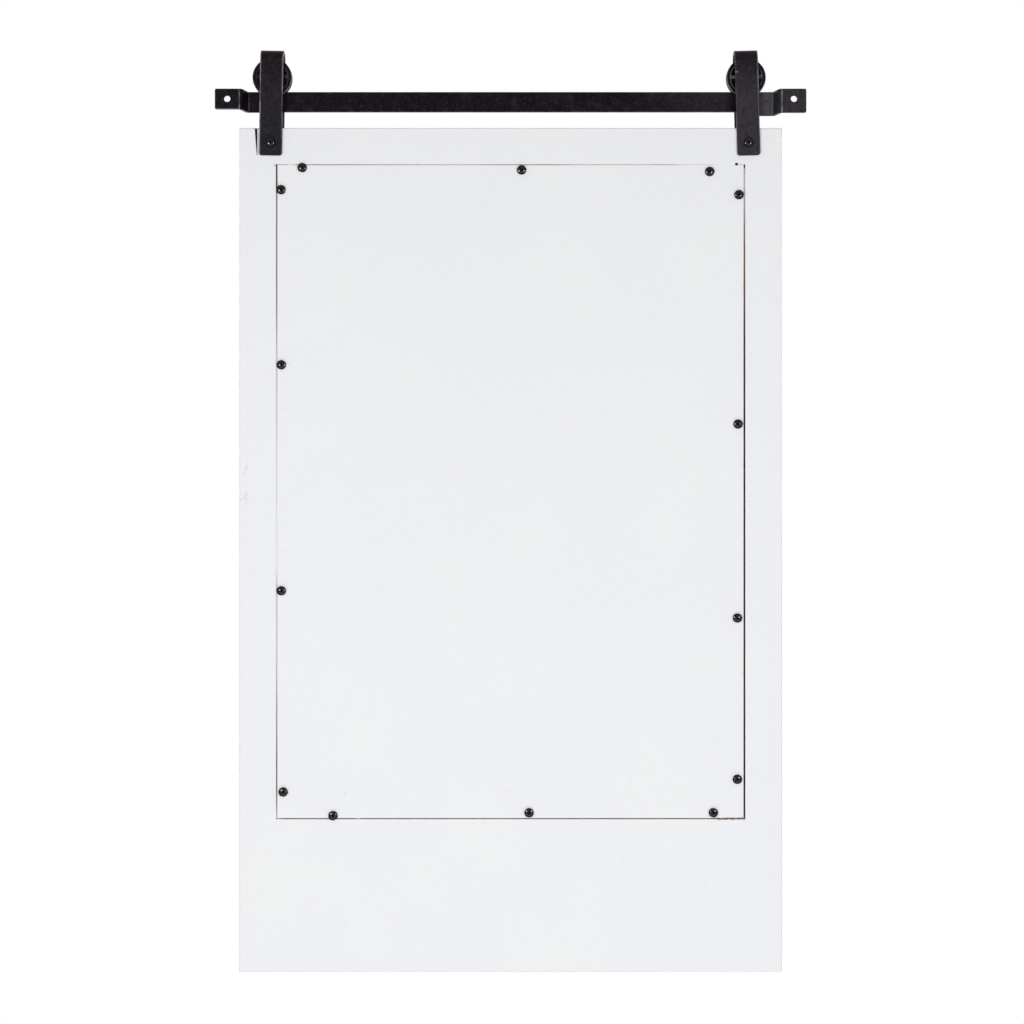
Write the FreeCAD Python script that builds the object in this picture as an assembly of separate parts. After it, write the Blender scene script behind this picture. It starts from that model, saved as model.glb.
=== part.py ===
"""Wall mirror with coat hooks, hung on two rollers from an iron rail like a small barn door.

Millimetres. The origin lies on the wall, midway between the two wall-screw holes.
+X points right and +Z up for someone who faces the mirror, and +Y points into the wall,
so the glass faces -Y. Left and right are named from that side.
"""
import FreeCAD, Part
import math
import os

from FreeCAD import Vector

# Frame boards
FRAME_WIDTH = 470.0
FRAME_HEIGHT = 731.0
BOARD_THICKNESS = 19.0
STILE_BACK_WIDTH = 32.0      # outer edge to the panel's pocket, on the back
TOP_BACK_WIDTH = 31.7
BOTTOM_BACK_WIDTH = 132.6
PANEL_LEDGE = 10.0           # step that carries the panel and takes its screws
GLASS_LEDGE = 8.0            # lip that the glass bears on
EASED_EDGE = 1.0             # rounding of the boards' bare arrises
DOWEL_RADIUS = 3.0
DOWEL_LENGTH = 24.0
TOP_DOWEL_EDGE = 9.0         # dowel centres from the edges of the top rail's full thickness
BOTTOM_DOWEL_EDGE = 30.0     # the same on the bottom board

# A saw kerf in the right stile's back, beside the strap
KERF_FROM_STRAP = 1.5
KERF_TOP_WIDTH = 2.4
KERF_FOOT_WIDTH = 0.5
KERF_LENGTH = 23.5
KERF_DEPTH = 3.0

# What lies in the pockets
PANEL_THICKNESS = 4.0
GLASS_THICKNESS = 4.0
CARD_THICKNESS = 1.0
GLASS_GAP = 1.0              # round the glass and the card
PANEL_GAP_LEFT = 1.1         # the seams round the panel are uneven
PANEL_GAP_RIGHT = 0.9
PANEL_GAP_TOP = 0.4
PANEL_GAP_BOTTOM = 0.5

# Panel screws as they were driven along each edge: (end, distance, inset from the edge).
# End 1 is the edge's right or top end, -1 its left or bottom end, and 0 its middle.
TOP_SCREWS = ((1, 21.6, 2.4), (0, -9.6, 4.4), (-1, 29.6, 5.8))
BOTTOM_SCREWS = ((1, 48.3, 2.4), (0, -16.1, 4.9), (-1, 26.4, 5.0))
LEFT_SCREWS = ((1, 25.8, 4.2), (0, 58.5, 5.0), (0, -109.4, 5.5), (-1, 33.9, 5.6))
RIGHT_SCREWS = ((1, 21.5, 3.3), (0, 109.8, 3.6), (0, -85.8, 3.6), (-1, 22.9, 5.2))

# Pan-head screws, one kind throughout
HEAD_RADIUS = 4.0
HEAD_HEIGHT = 2.7
HEAD_RIM = 0.7               # straight side under the dome
SHANK_RADIUS = 1.75
POINT_LENGTH = 2.0
RECESS_LENGTH = 4.2          # the cross in the head
RECESS_WIDTH = 1.1
RECESS_DEPTH = 1.4
SCREW_CLEARANCE = 0.25       # round the shank where it passes through a piece
PANEL_SCREW_BITE = 8.0       # depth of thread in the wood
HOOK_SCREW_BITE = 12.0
STRAP_SCREW_TIP_GAP = 3.0    # between the points of a strap's front and back screws

# Rail
RAIL_HEIGHT = 17.5
RAIL_THICKNESS = 3.0
RAIL_STANDOFF = 19.5         # wall to the rail's back face
RAIL_BEND_RADIUS = 2.5       # on the middle of the metal
JOGGLE_RUN = 4.0             # sideways run of the bend out to the wall
TAB_LENGTH = 22.2
TAB_CORNER_RADIUS = 1.5
RIGHT_END_HEIGHT = 17.8      # the ends are spread a little, the left one more
LEFT_END_HEIGHT = 20.7
WALL_HOLE_RADIUS = 2.75
WALL_HOLE_INSET = 10.7       # hole centre to the tab's tip

# Rollers
ROLLER_RADIUS = 17.0
GROOVE_RADIUS = 11.85
GROOVE_SIDE_GAP = 0.6        # between the rail's face and the groove's wall
GROOVE_FLARE = 1.2           # how far each groove wall leans out
FLANGE_LAND = 2.2
RIM_WIDTH = 3.5
WEB_WALL = 1.4               # from the groove's foot to the recess beside the hub
HUB_RADIUS = 6.5
SPOKE_COUNT = 6
SPOKE_WIDTH = 3.0
SPOKE_SINK = 0.4             # spokes lie this far below the rim's face
ROLLER_EDGE = 0.6            # rounding of the flanges
ROLLING_GAP = 0.2            # between the groove's floor and the rail
AXLE_RADIUS = 3.0
AXLE_CLEARANCE = 0.08        # round the axle in the roller's bore
AXLE_HEAD_RADIUS = 6.5
AXLE_HEAD_HEIGHT = 3.2
SPACER_RADIUS = 5.5
SIDE_PLAY = 0.2              # between a spacer and the roller's hub

# Hanger straps
LEFT_HANGER_INSET = 29.1     # the frame's outer edge to a strap's screws
RIGHT_HANGER_INSET = 27.2
LEFT_HANGER_LEAN = 1.5       # degrees that a strap leans inwards above its screws
RIGHT_HANGER_LEAN = 0.9
STRAP_WIDTH = 20.0
STRAP_THICKNESS = 3.0
STRAP_BEND_RADIUS = 8.0      # on the middle of the metal
STRAP_END_RADIUS = 2.5
STRAP_LAP = 24.0             # how far the legs come down over the frame
STRAP_SCREW_DROP = 12.9      # the frame's top to the strap's screws
IRON_EDGE = 0.5              # rounding of the iron's arrises
RAIL_TO_FRAME = 14.85
ROLLER_TO_STRAP = 3.0        # over the roller's flanges
ROLLER_TO_JOGGLE = 4.9       # the right roller's flange to the rail's bend

# Hooks
HOOK_INSET = 105.0           # the frame's outer edge to the middle of an outer hook
HOOK_PLATE_WIDTH = 24.0
HOOK_PLATE_HEIGHT = 68.0
HOOK_PLATE_THICKNESS = 3.0
HOOK_PLATE_EDGE = 1.2
HOOK_SCREW_INSET = 10.0      # screw centre to the plate's end
HOOK_ROOT_DROP = 4.0         # the prong starts this far below the plate's middle
HOOK_ROOT_RUN = 8.5
HOOK_MIDDLE_RUN = 1.0
HOOK_DROOP = 25.0            # degrees below level in the middle run
HOOK_RISE = 75.0             # degrees above level at the tip
HOOK_BEND_RADIUS = 15.0
HOOK_TIP_RUN = 6.0
HOOK_PRONG_RADIUS = 4.2
HOOK_COLLAR_RADIUS = 8.0
HOOK_COLLAR_LENGTH = 7.0
HOOK_COLLAR_SINK = 0.6       # the collar's nose ends this far inside the prong
HOOK_BALL_RADIUS = 7.0

TOLERANCE = 1e-4
CUT_PAST = 5.0               # how far a cutting tool runs past the face it opens

# Places that follow from the sizes above
rail_y = -(RAIL_STANDOFF + RAIL_THICKNESS / 2)
back_y = rail_y + BOARD_THICKNESS / 2
front_y = rail_y - BOARD_THICKNESS / 2
glass_depth = PANEL_THICKNESS + CARD_THICKNESS + GLASS_THICKNESS

frame_side = FRAME_WIDTH / 2
frame_top = -RAIL_HEIGHT / 2 - RAIL_TO_FRAME
frame_bottom = frame_top - FRAME_HEIGHT
pocket_side = frame_side - STILE_BACK_WIDTH
pocket_top = frame_top - TOP_BACK_WIDTH
pocket_bottom = frame_bottom + BOTTOM_BACK_WIDTH
sight_inset = PANEL_LEDGE + GLASS_LEDGE
sight_side = pocket_side - sight_inset

panel_left = -pocket_side + PANEL_GAP_LEFT
panel_right = pocket_side - PANEL_GAP_RIGHT
panel_top = pocket_top - PANEL_GAP_TOP
panel_bottom = pocket_bottom + PANEL_GAP_BOTTOM

groove_half = RAIL_THICKNESS / 2 + GROOVE_SIDE_GAP
web_half = groove_half + WEB_WALL
roller_half = groove_half + GROOVE_FLARE + FLANGE_LAND
roller_z = RAIL_HEIGHT / 2 + ROLLING_GAP + GROOVE_RADIUS

hanger_places = {"left": LEFT_HANGER_INSET - frame_side, "right": frame_side - RIGHT_HANGER_INSET}
hanger_leans = {"left": LEFT_HANGER_LEAN, "right": -RIGHT_HANGER_LEAN}
strap_half = BOARD_THICKNESS / 2 + STRAP_THICKNESS
strap_bottom = frame_top - STRAP_LAP
strap_screw_z = frame_top - STRAP_SCREW_DROP
strap_screw_bite = (BOARD_THICKNESS - STRAP_SCREW_TIP_GAP) / 2
roller_rise = roller_z - strap_screw_z
roller_places = {side: x + roller_rise * math.tan(math.radians(hanger_leans[side]))
                 for side, x in hanger_places.items()}

joggle_x = roller_places["right"] + ROLLER_RADIUS + ROLLER_TO_JOGGLE
tab_x = joggle_x + JOGGLE_RUN
rail_tip = tab_x + TAB_LENGTH
wall_hole_x = rail_tip - WALL_HOLE_INSET

hook_face_y = front_y - HOOK_PLATE_THICKNESS
hook_z = (frame_bottom + pocket_bottom + sight_inset) / 2
hook_x = frame_side - HOOK_INSET
hook_places = {"left": -hook_x, "middle": 0.0, "right": hook_x}
hook_screw_z = HOOK_PLATE_HEIGHT / 2 - HOOK_SCREW_INSET

# Turns a drawing made in XY so that its X lies along Y and its Y along Z
SIDE_VIEW = FreeCAD.Placement(Vector(), FreeCAD.Rotation(Vector(1, 1, 1), 120))


def strap_top(axle_z):
    """Height of a strap's outer top, whose bend clears the roller's flanges at their widest."""
    inner_bend = STRAP_BEND_RADIUS - STRAP_THICKNESS / 2
    under_bend = max(0.0, roller_half - (BOARD_THICKNESS / 2 - inner_bend))
    bend_drop = inner_bend - math.sqrt(inner_bend ** 2 - under_bend ** 2)
    return axle_z + ROLLER_RADIUS + ROLLER_TO_STRAP + bend_drop + STRAP_THICKNESS


def cylinder_y(radius, x, z, y_from, y_to):
    """A cylinder along Y."""
    return Part.makeCylinder(radius, y_to - y_from, Vector(x, y_from, z), Vector(0, 1, 0))


def box(x_from, x_to, y_from, y_to, z_from, z_to):
    """A box between two corners."""
    return Part.makeBox(x_to - x_from, y_to - y_from, z_to - z_from, Vector(x_from, y_from, z_from))


def bent_path(points, radius, offset=0.0):
    """Edges along a line of points in XY, moved to its left by offset, with an arc at each corner.

    radius is the arcs' radius on the line itself.
    """
    runs = [(end - start).normalize() for start, end in zip(points, points[1:])]
    sides = [Vector(-run.y, run.x, 0) for run in runs]
    edges = []
    here = points[0] + sides[0] * offset
    for corner, run, next_run, side, next_side in zip(points[1:], runs, runs[1:], sides, sides[1:]):
        turn = math.atan2(run.cross(next_run).z, run.dot(next_run))
        hand = math.copysign(1.0, turn)
        centre = corner - run * radius * math.tan(abs(turn) / 2) + side * hand * radius
        reach = -hand * (radius - hand * offset)
        first, last = centre + side * reach, centre + next_side * reach
        middle = centre + (side + next_side).normalize() * reach
        edges.append(Part.LineSegment(here, first).toShape())
        edges.append(Part.Arc(first, middle, last).toShape())
        here = last
    edges.append(Part.LineSegment(here, points[-1] + sides[-1] * offset).toShape())
    return edges


def strip_face(points, radius, thickness):
    """The section of a bent strip whose middle follows a line of points in XY."""
    left = bent_path(points, radius, thickness / 2)
    right = bent_path(points, radius, -thickness / 2)
    near = Part.LineSegment(left[0].Vertexes[0].Point, right[0].Vertexes[0].Point).toShape()
    far = Part.LineSegment(left[-1].Vertexes[-1].Point, right[-1].Vertexes[-1].Point).toShape()
    return Part.Face(Part.Wire(Part.sortEdges([near, far] + left + right)[0]))


def ring_of(profile):
    """A solid turned about Y from a profile of (radius, y) points."""
    points = [Vector(radius, y, 0) for radius, y in profile]
    face = Part.Face(Part.makePolygon(points + points[:1]))
    return face.revolve(Vector(), Vector(0, 1, 0), 360)


def pan_screw(length):
    """A cross-recessed pan-head screw: head towards +Y, its seat at the origin, shank along -Y."""
    dome_rise = HEAD_HEIGHT - HEAD_RIM
    dome_radius = (HEAD_RADIUS ** 2 + dome_rise ** 2) / (2 * dome_rise)
    head = cylinder_y(HEAD_RADIUS, 0, 0, 0, HEAD_HEIGHT)
    head = head.common(Part.makeSphere(dome_radius, Vector(0, HEAD_HEIGHT - dome_radius, 0)))
    for size_x, size_z in ((RECESS_LENGTH, RECESS_WIDTH), (RECESS_WIDTH, RECESS_LENGTH)):
        slot = box(-size_x / 2, size_x / 2, HEAD_HEIGHT - RECESS_DEPTH, HEAD_HEIGHT, -size_z / 2, size_z / 2)
        head = head.cut(slot)
    point_y = POINT_LENGTH - length
    shank = cylinder_y(SHANK_RADIUS, 0, 0, point_y, 0)
    point = Part.makeCone(SHANK_RADIUS, 0, POINT_LENGTH, Vector(0, point_y, 0), Vector(0, -1, 0))
    return head.fuse([shank, point]).removeSplitter()


def back_screw(x, y, z, length):
    """A screw driven from the back, with its head seated at y."""
    return pan_screw(length).translated(Vector(x, y, z))


def front_screw(x, y, z, length):
    """A screw driven from the front, with its head seated at y."""
    turned = pan_screw(length).rotated(Vector(), Vector(0, 0, 1), 180)
    return turned.translated(Vector(x, y, z))


def row_places(screws, middle, half_length):
    """(place along the edge, inset) of each screw of one panel edge."""
    return [(middle + (end * (half_length - along) if end else along), inset) for end, along, inset in screws]


def panel_screw_places():
    """(x, z) of every panel screw."""
    middle_x, half_x = (panel_left + panel_right) / 2, (panel_right - panel_left) / 2
    middle_z, half_z = (panel_bottom + panel_top) / 2, (panel_top - panel_bottom) / 2
    places = [(x, panel_top - inset) for x, inset in row_places(TOP_SCREWS, middle_x, half_x)]
    places += [(x, panel_bottom + inset) for x, inset in row_places(BOTTOM_SCREWS, middle_x, half_x)]
    places += [(panel_left + inset, z) for z, inset in row_places(LEFT_SCREWS, middle_z, half_z)]
    places += [(panel_right - inset, z) for z, inset in row_places(RIGHT_SCREWS, middle_z, half_z)]
    return places


def hook_screw_places():
    """(x, z) of every hook screw."""
    return [(x, hook_z + side * hook_screw_z) for x in hook_places.values() for side in (-1, 1)]


def dowel_heights():
    """Heights of the dowels in the top rail and in the bottom board."""
    top = [frame_top - TOP_DOWEL_EDGE, pocket_top + TOP_DOWEL_EDGE]
    bottom = [pocket_bottom - BOTTOM_DOWEL_EDGE, frame_bottom + BOTTOM_DOWEL_EDGE]
    return top + bottom


def frame_dowels():
    """The dowels that join the rails to the stiles."""
    return [
        Part.makeCylinder(DOWEL_RADIUS, DOWEL_LENGTH, Vector(side * sight_side - DOWEL_LENGTH / 2, rail_y, z),
                          Vector(1, 0, 0))
        for side in (-1, 1)
        for z in dowel_heights()
    ]


def pockets():
    """What the frame's back loses to the panel and to the glass."""
    panel_pocket = box(-pocket_side, pocket_side, back_y - PANEL_THICKNESS, back_y + CUT_PAST,
                       pocket_bottom, pocket_top)
    glass_pocket = box(-pocket_side + PANEL_LEDGE, pocket_side - PANEL_LEDGE, back_y - glass_depth,
                       back_y + CUT_PAST, pocket_bottom + PANEL_LEDGE, pocket_top - PANEL_LEDGE)
    return [panel_pocket, glass_pocket]


def pilot_holes():
    """The holes that the screws cut in the boards."""
    ledge_y = back_y - PANEL_THICKNESS
    holes = [cylinder_y(SHANK_RADIUS, x, z, ledge_y - PANEL_SCREW_BITE, ledge_y)
             for x, z in panel_screw_places()]
    holes += [cylinder_y(SHANK_RADIUS, x, z, front_y, front_y + HOOK_SCREW_BITE)
              for x, z in hook_screw_places()]
    for x in hanger_places.values():
        holes.append(cylinder_y(SHANK_RADIUS, x, strap_screw_z, front_y, front_y + strap_screw_bite))
        holes.append(cylinder_y(SHANK_RADIUS, x, strap_screw_z, back_y - strap_screw_bite, back_y))
    return holes


def frame_board(x_from, x_to, z_from, z_to):
    """One board of the frame: bare arrises eased, then its pockets and holes.

    Where two boards meet, only the front arris is eased, which leaves a fine V at the joint.
    """
    blank = box(x_from, x_to, front_y, back_y, z_from, z_to)
    bare = []
    for edge in blank.Edges:
        middle = edge.CenterOfMass
        at_joint = abs(abs(middle.x) - sight_side) < TOLERANCE
        if not at_joint or abs(middle.y - front_y) < TOLERANCE:
            bare.append(edge)
    return blank.makeFillet(EASED_EDGE, bare).cut(pockets() + pilot_holes() + frame_dowels())


def saw_kerf():
    """The tapering kerf beside the right strap."""
    near = hanger_places["right"] + STRAP_WIDTH / 2 + KERF_FROM_STRAP
    foot = frame_top - KERF_LENGTH
    corners = [(near, frame_top + CUT_PAST), (near + KERF_TOP_WIDTH, frame_top + CUT_PAST),
               (near + KERF_TOP_WIDTH, frame_top), (near + KERF_FOOT_WIDTH, foot), (near, foot)]
    points = [Vector(x, back_y - KERF_DEPTH, z) for x, z in corners]
    return Part.Face(Part.makePolygon(points + points[:1])).extrude(Vector(0, KERF_DEPTH + CUT_PAST, 0))


def left_stile():
    """The left upright, which runs the frame's full height."""
    return frame_board(-frame_side, -sight_side, frame_bottom, frame_top)


def right_stile():
    """The right upright, with the saw kerf."""
    return frame_board(sight_side, frame_side, frame_bottom, frame_top).cut(saw_kerf())


def top_rail():
    """The board across the top, between the stiles."""
    return frame_board(-sight_side, sight_side, pocket_top - sight_inset, frame_top)


def hook_board():
    """The deep board across the bottom, which carries the hooks."""
    return frame_board(-sight_side, sight_side, frame_bottom, pocket_bottom + sight_inset)


def sheet_in_glass_pocket(y_from, y_to):
    """A sheet that lies in the glass's pocket with a gap all round."""
    inset = PANEL_LEDGE + GLASS_GAP
    side = pocket_side - inset
    return box(-side, side, y_from, y_to, pocket_bottom + inset, pocket_top - inset)


def mirror_glass():
    """The silvered glass, face against the frame's lip."""
    glass_front = back_y - glass_depth
    return sheet_in_glass_pocket(glass_front, glass_front + GLASS_THICKNESS)


def backing_card():
    """The card between the glass and the panel."""
    card_back = back_y - PANEL_THICKNESS
    return sheet_in_glass_pocket(card_back - CARD_THICKNESS, card_back)


def back_panel():
    """The panel that closes the back, with clearance holes for its screws."""
    panel = box(panel_left, panel_right, back_y - PANEL_THICKNESS, back_y, panel_bottom, panel_top)
    radius = SHANK_RADIUS + SCREW_CLEARANCE
    return panel.cut([cylinder_y(radius, x, z, back_y - PANEL_THICKNESS, back_y)
                      for x, z in panel_screw_places()])


def is_rail_arris(edge):
    """Whether an edge of the rail runs round one of its broad faces, apart from the bend lines."""
    size = edge.BoundBox
    through = size.XLength < TOLERANCE and size.ZLength < TOLERANCE
    upright = size.XLength < TOLERANCE and size.YLength < TOLERANCE
    return not through and (not upright or abs(edge.CenterOfMass.x) > rail_tip - TOLERANCE)


def rail():
    """The flat rail: bent out to the wall at both ends, where it is spread and drilled."""
    tab_y = -RAIL_THICKNESS / 2
    line = [(-rail_tip, tab_y), (-tab_x, tab_y), (-joggle_x, rail_y),
            (joggle_x, rail_y), (tab_x, tab_y), (rail_tip, tab_y)]
    section = strip_face([Vector(x, y, 0) for x, y in line], RAIL_BEND_RADIUS, RAIL_THICKNESS)
    top, bottom = RAIL_HEIGHT / 2, -RAIL_HEIGHT / 2
    right_bottom, left_bottom = top - RIGHT_END_HEIGHT, top - LEFT_END_HEIGHT
    half_strap = STRAP_WIDTH / 2
    left, right = roller_places["left"], roller_places["right"]
    corners = [(-rail_tip, top), (rail_tip, top), (rail_tip, right_bottom),
               (right + half_strap, right_bottom), (right - half_strap, bottom),
               (left + half_strap, bottom), (left - half_strap, left_bottom), (-rail_tip, left_bottom)]
    front_view = [Vector(x, -RAIL_STANDOFF - RAIL_THICKNESS - CUT_PAST, z) for x, z in corners]
    depth = RAIL_STANDOFF + RAIL_THICKNESS + 2 * CUT_PAST
    outline = Part.Face(Part.makePolygon(front_view + front_view[:1])).extrude(Vector(0, depth, 0))
    through_edges = [edge for edge in outline.Edges if edge.BoundBox.YLength > depth / 2]
    tip_edges = [edge for edge in through_edges if abs(abs(edge.CenterOfMass.x) - rail_tip) < TOLERANCE]
    outline = outline.makeFillet(TAB_CORNER_RADIUS, tip_edges)
    lowest = min(right_bottom, left_bottom, bottom)
    bar = section.translated(Vector(0, 0, lowest)).extrude(Vector(0, 0, top - lowest)).common(outline)
    bar = bar.makeFillet(IRON_EDGE, [edge for edge in bar.Edges if is_rail_arris(edge)])
    return bar.cut([cylinder_y(WALL_HOLE_RADIUS, side * wall_hole_x, 0, -RAIL_THICKNESS - CUT_PAST, CUT_PAST)
                    for side in (-1, 1)])


def hanger_strap(side):
    """A strap bent over a roller, whose two legs clasp the frame, made upright and then leant."""
    x, lean = hanger_places[side], hanger_leans[side]
    axle_z = strap_screw_z + roller_rise / math.cos(math.radians(lean))
    leg = strap_half - STRAP_THICKNESS / 2
    crown = strap_top(axle_z) - STRAP_THICKNESS / 2
    line = [(rail_y + leg, strap_bottom), (rail_y + leg, crown),
            (rail_y - leg, crown), (rail_y - leg, strap_bottom)]
    section = strip_face([Vector(y, z, 0) for y, z in line], STRAP_BEND_RADIUS, STRAP_THICKNESS)
    section = section.transformed(SIDE_VIEW.toMatrix())
    strap = section.translated(Vector(x - STRAP_WIDTH / 2, 0, 0)).extrude(Vector(STRAP_WIDTH, 0, 0))
    side_edges = [edge for edge in strap.Edges if edge.BoundBox.XLength < TOLERANCE]
    leg_corners = [edge for edge in side_edges if abs(edge.CenterOfMass.z - strap_bottom) < TOLERANCE]
    strap = strap.makeFillet(STRAP_END_RADIUS, leg_corners)
    side_edges = [edge for edge in strap.Edges if edge.BoundBox.XLength < TOLERANCE]
    arrises = [edge for edge in side_edges if edge.BoundBox.ZLength > STRAP_END_RADIUS]
    strap = strap.makeFillet(IRON_EDGE, arrises)
    past = strap_half + CUT_PAST
    axle_hole = cylinder_y(AXLE_RADIUS, x, axle_z, rail_y - past, rail_y + past)
    screw_hole = cylinder_y(SHANK_RADIUS + SCREW_CLEARANCE, x, strap_screw_z, rail_y - past, rail_y + past)
    strap = strap.cut([axle_hole, screw_hole])
    return strap.rotated(Vector(x, 0, strap_screw_z), Vector(0, 1, 0), lean)


def roller(x):
    """A grooved roller with a recessed web and spokes on both faces."""
    rim_inner = ROLLER_RADIUS - RIM_WIDTH
    rim_groove = groove_half + GROOVE_FLARE
    bore = AXLE_RADIUS + AXLE_CLEARANCE
    side = [(bore, roller_half), (HUB_RADIUS, roller_half), (HUB_RADIUS, web_half), (rim_inner, web_half),
            (rim_inner, roller_half), (ROLLER_RADIUS, roller_half), (ROLLER_RADIUS, rim_groove),
            (GROOVE_RADIUS, groove_half)]
    wheel = ring_of(side + [(radius, -y) for radius, y in reversed(side)])
    rims = [edge for edge in wheel.Edges
            if edge.Closed and abs(edge.Curve.Radius - ROLLER_RADIUS) < TOLERANCE]
    wheel = wheel.makeFillet(ROLLER_EDGE, rims)
    spokes = []
    for index in range(SPOKE_COUNT):
        for y_from, y_to in ((web_half, roller_half - SPOKE_SINK), (SPOKE_SINK - roller_half, -web_half)):
            spoke = box((bore + HUB_RADIUS) / 2, rim_inner + RIM_WIDTH / 4, y_from, y_to,
                        -SPOKE_WIDTH / 2, SPOKE_WIDTH / 2)
            spokes.append(spoke.rotated(Vector(), Vector(0, 1, 0), 360 * index / SPOKE_COUNT))
    return wheel.fuse(spokes).removeSplitter().translated(Vector(x, rail_y, roller_z))


def roller_axle(x):
    """A rivet through both legs: domed at the front, dressed flush at the back."""
    pin = cylinder_y(AXLE_RADIUS, x, roller_z, rail_y - strap_half, rail_y + strap_half)
    dome_radius = (AXLE_HEAD_RADIUS ** 2 + AXLE_HEAD_HEIGHT ** 2) / (2 * AXLE_HEAD_HEIGHT)
    seat = rail_y - strap_half
    head = Part.makeSphere(dome_radius, Vector(x, seat - AXLE_HEAD_HEIGHT + dome_radius, roller_z))
    head = head.common(cylinder_y(AXLE_HEAD_RADIUS, x, roller_z, seat - AXLE_HEAD_HEIGHT, seat))
    return pin.fuse(head).removeSplitter()


def roller_spacers(x):
    """The two sleeves that keep a roller in the middle of its strap."""
    leg_face = BOARD_THICKNESS / 2
    hub_face = roller_half + SIDE_PLAY
    spacers = []
    for y_from, y_to in ((-leg_face, -hub_face), (hub_face, leg_face)):
        sleeve = cylinder_y(SPACER_RADIUS, x, roller_z, rail_y + y_from, rail_y + y_to)
        spacers.append(sleeve.cut(cylinder_y(AXLE_RADIUS, x, roller_z, rail_y + y_from, rail_y + y_to)))
    return spacers


def coat_hook(x):
    """A hook: a plate with rounded ends and a prong that droops, rises and ends in a ball."""
    half_width = HOOK_PLATE_WIDTH / 2
    half_straight = HOOK_PLATE_HEIGHT / 2 - half_width
    plate = box(-half_width, half_width, hook_face_y, front_y, -half_straight, half_straight)
    ends = [cylinder_y(half_width, 0, side * half_straight, hook_face_y, front_y) for side in (-1, 1)]
    plate = plate.fuse(ends).removeSplitter()
    face_edges = [edge for edge in plate.Edges if edge.BoundBox.YMax < hook_face_y + TOLERANCE]
    plate = plate.makeFillet(HOOK_PLATE_EDGE, face_edges)
    hole_radius = SHANK_RADIUS + SCREW_CLEARANCE
    plate = plate.cut([cylinder_y(hole_radius, 0, side * hook_screw_z, hook_face_y, front_y)
                       for side in (-1, 1)])
    whole = plate.fuse([hook_collar()] + hook_prong()).removeSplitter()
    return whole.translated(Vector(x, 0, hook_z))


def hook_collar():
    """The cone that carries the prong on the plate."""
    root = Vector(0, hook_face_y, -HOOK_ROOT_DROP)
    nose = HOOK_PRONG_RADIUS - HOOK_COLLAR_SINK
    return Part.makeCone(HOOK_COLLAR_RADIUS, nose, HOOK_COLLAR_LENGTH, root, Vector(0, -1, 0))


def hook_prong():
    """The prong and its ball, drawn from the side: level, then drooping, then rising."""
    droop, rise = math.radians(HOOK_DROOP), math.radians(HOOK_RISE)
    droop_tangent = HOOK_BEND_RADIUS * math.tan(droop / 2)
    rise_tangent = HOOK_BEND_RADIUS * math.tan((droop + rise) / 2)
    level = Vector(-1, 0, 0)
    down = Vector(-math.cos(droop), -math.sin(droop), 0)
    up = Vector(-math.cos(rise), math.sin(rise), 0)
    start = Vector(hook_face_y + HOOK_PLATE_THICKNESS / 2, -HOOK_ROOT_DROP, 0)
    knee = start + level * (HOOK_PLATE_THICKNESS / 2 + HOOK_ROOT_RUN + droop_tangent)
    heel = knee + down * (droop_tangent + HOOK_MIDDLE_RUN + rise_tangent)
    tip = heel + up * (rise_tangent + HOOK_TIP_RUN)
    path = Part.Wire(bent_path([start, knee, heel, tip], HOOK_BEND_RADIUS))
    ring = Part.Wire(Part.makeCircle(HOOK_PRONG_RADIUS, start, level))
    prong = path.makePipeShell([ring], True, False)
    ball = Part.makeSphere(HOOK_BALL_RADIUS, tip, up)
    return [shape.transformed(SIDE_VIEW.toMatrix()) for shape in (prong, ball)]


def panel_screws():
    """The screws round the back panel."""
    return [back_screw(x, back_y, z, PANEL_THICKNESS + PANEL_SCREW_BITE) for x, z in panel_screw_places()]


def hook_screws():
    """The screws that hold the hooks' plates."""
    return [front_screw(x, hook_face_y, z, HOOK_PLATE_THICKNESS + HOOK_SCREW_BITE)
            for x, z in hook_screw_places()]


def hanger_screws(screw, seat_y):
    """The screws through one leg of each strap."""
    length = STRAP_THICKNESS + strap_screw_bite
    return [screw(x, seat_y, strap_screw_z, length) for x in hanger_places.values()]


def pieces():
    """Every piece of the mirror by name. A list is a set of like pieces."""
    named = {
        "rail": rail(),
        "left_stile": left_stile(),
        "right_stile": right_stile(),
        "top_rail": top_rail(),
        "hook_board": hook_board(),
        "frame_dowels": frame_dowels(),
        "mirror_glass": mirror_glass(),
        "backing_card": backing_card(),
        "back_panel": back_panel(),
        "panel_screws": panel_screws(),
        "hanger_back_screws": hanger_screws(back_screw, rail_y + strap_half),
        "hanger_front_screws": hanger_screws(front_screw, rail_y - strap_half),
        "hook_screws": hook_screws(),
    }
    for side, x in roller_places.items():
        named[f"{side}_hanger_strap"] = hanger_strap(side)
        named[f"{side}_roller"] = roller(x)
        named[f"{side}_roller_axle"] = roller_axle(x)
        named[f"{side}_roller_spacers"] = roller_spacers(x)
    for side, x in hook_places.items():
        named[f"{side}_hook"] = coat_hook(x)
    return named


os.makedirs("parts", exist_ok=True)
for name, piece in pieces().items():
    shape = Part.makeCompound(piece) if isinstance(piece, list) else piece
    shape.exportStep(f"parts/{name}.step")
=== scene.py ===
"""Looks of a wall mirror with coat hooks, hung by two rollers from an iron rail.

Metres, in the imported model's own frame: +X right and +Z up for someone who faces the glass,
+Y into the wall. The photograph shows the back, so the camera stands on the wall's side.
"""
from __future__ import annotations

import logging
import math
import random
from abc import ABC, abstractmethod
from dataclasses import dataclass
from enum import Enum
from functools import partial, reduce
from typing import Callable, Dict, List, Optional, Sequence, Tuple, Union

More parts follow.
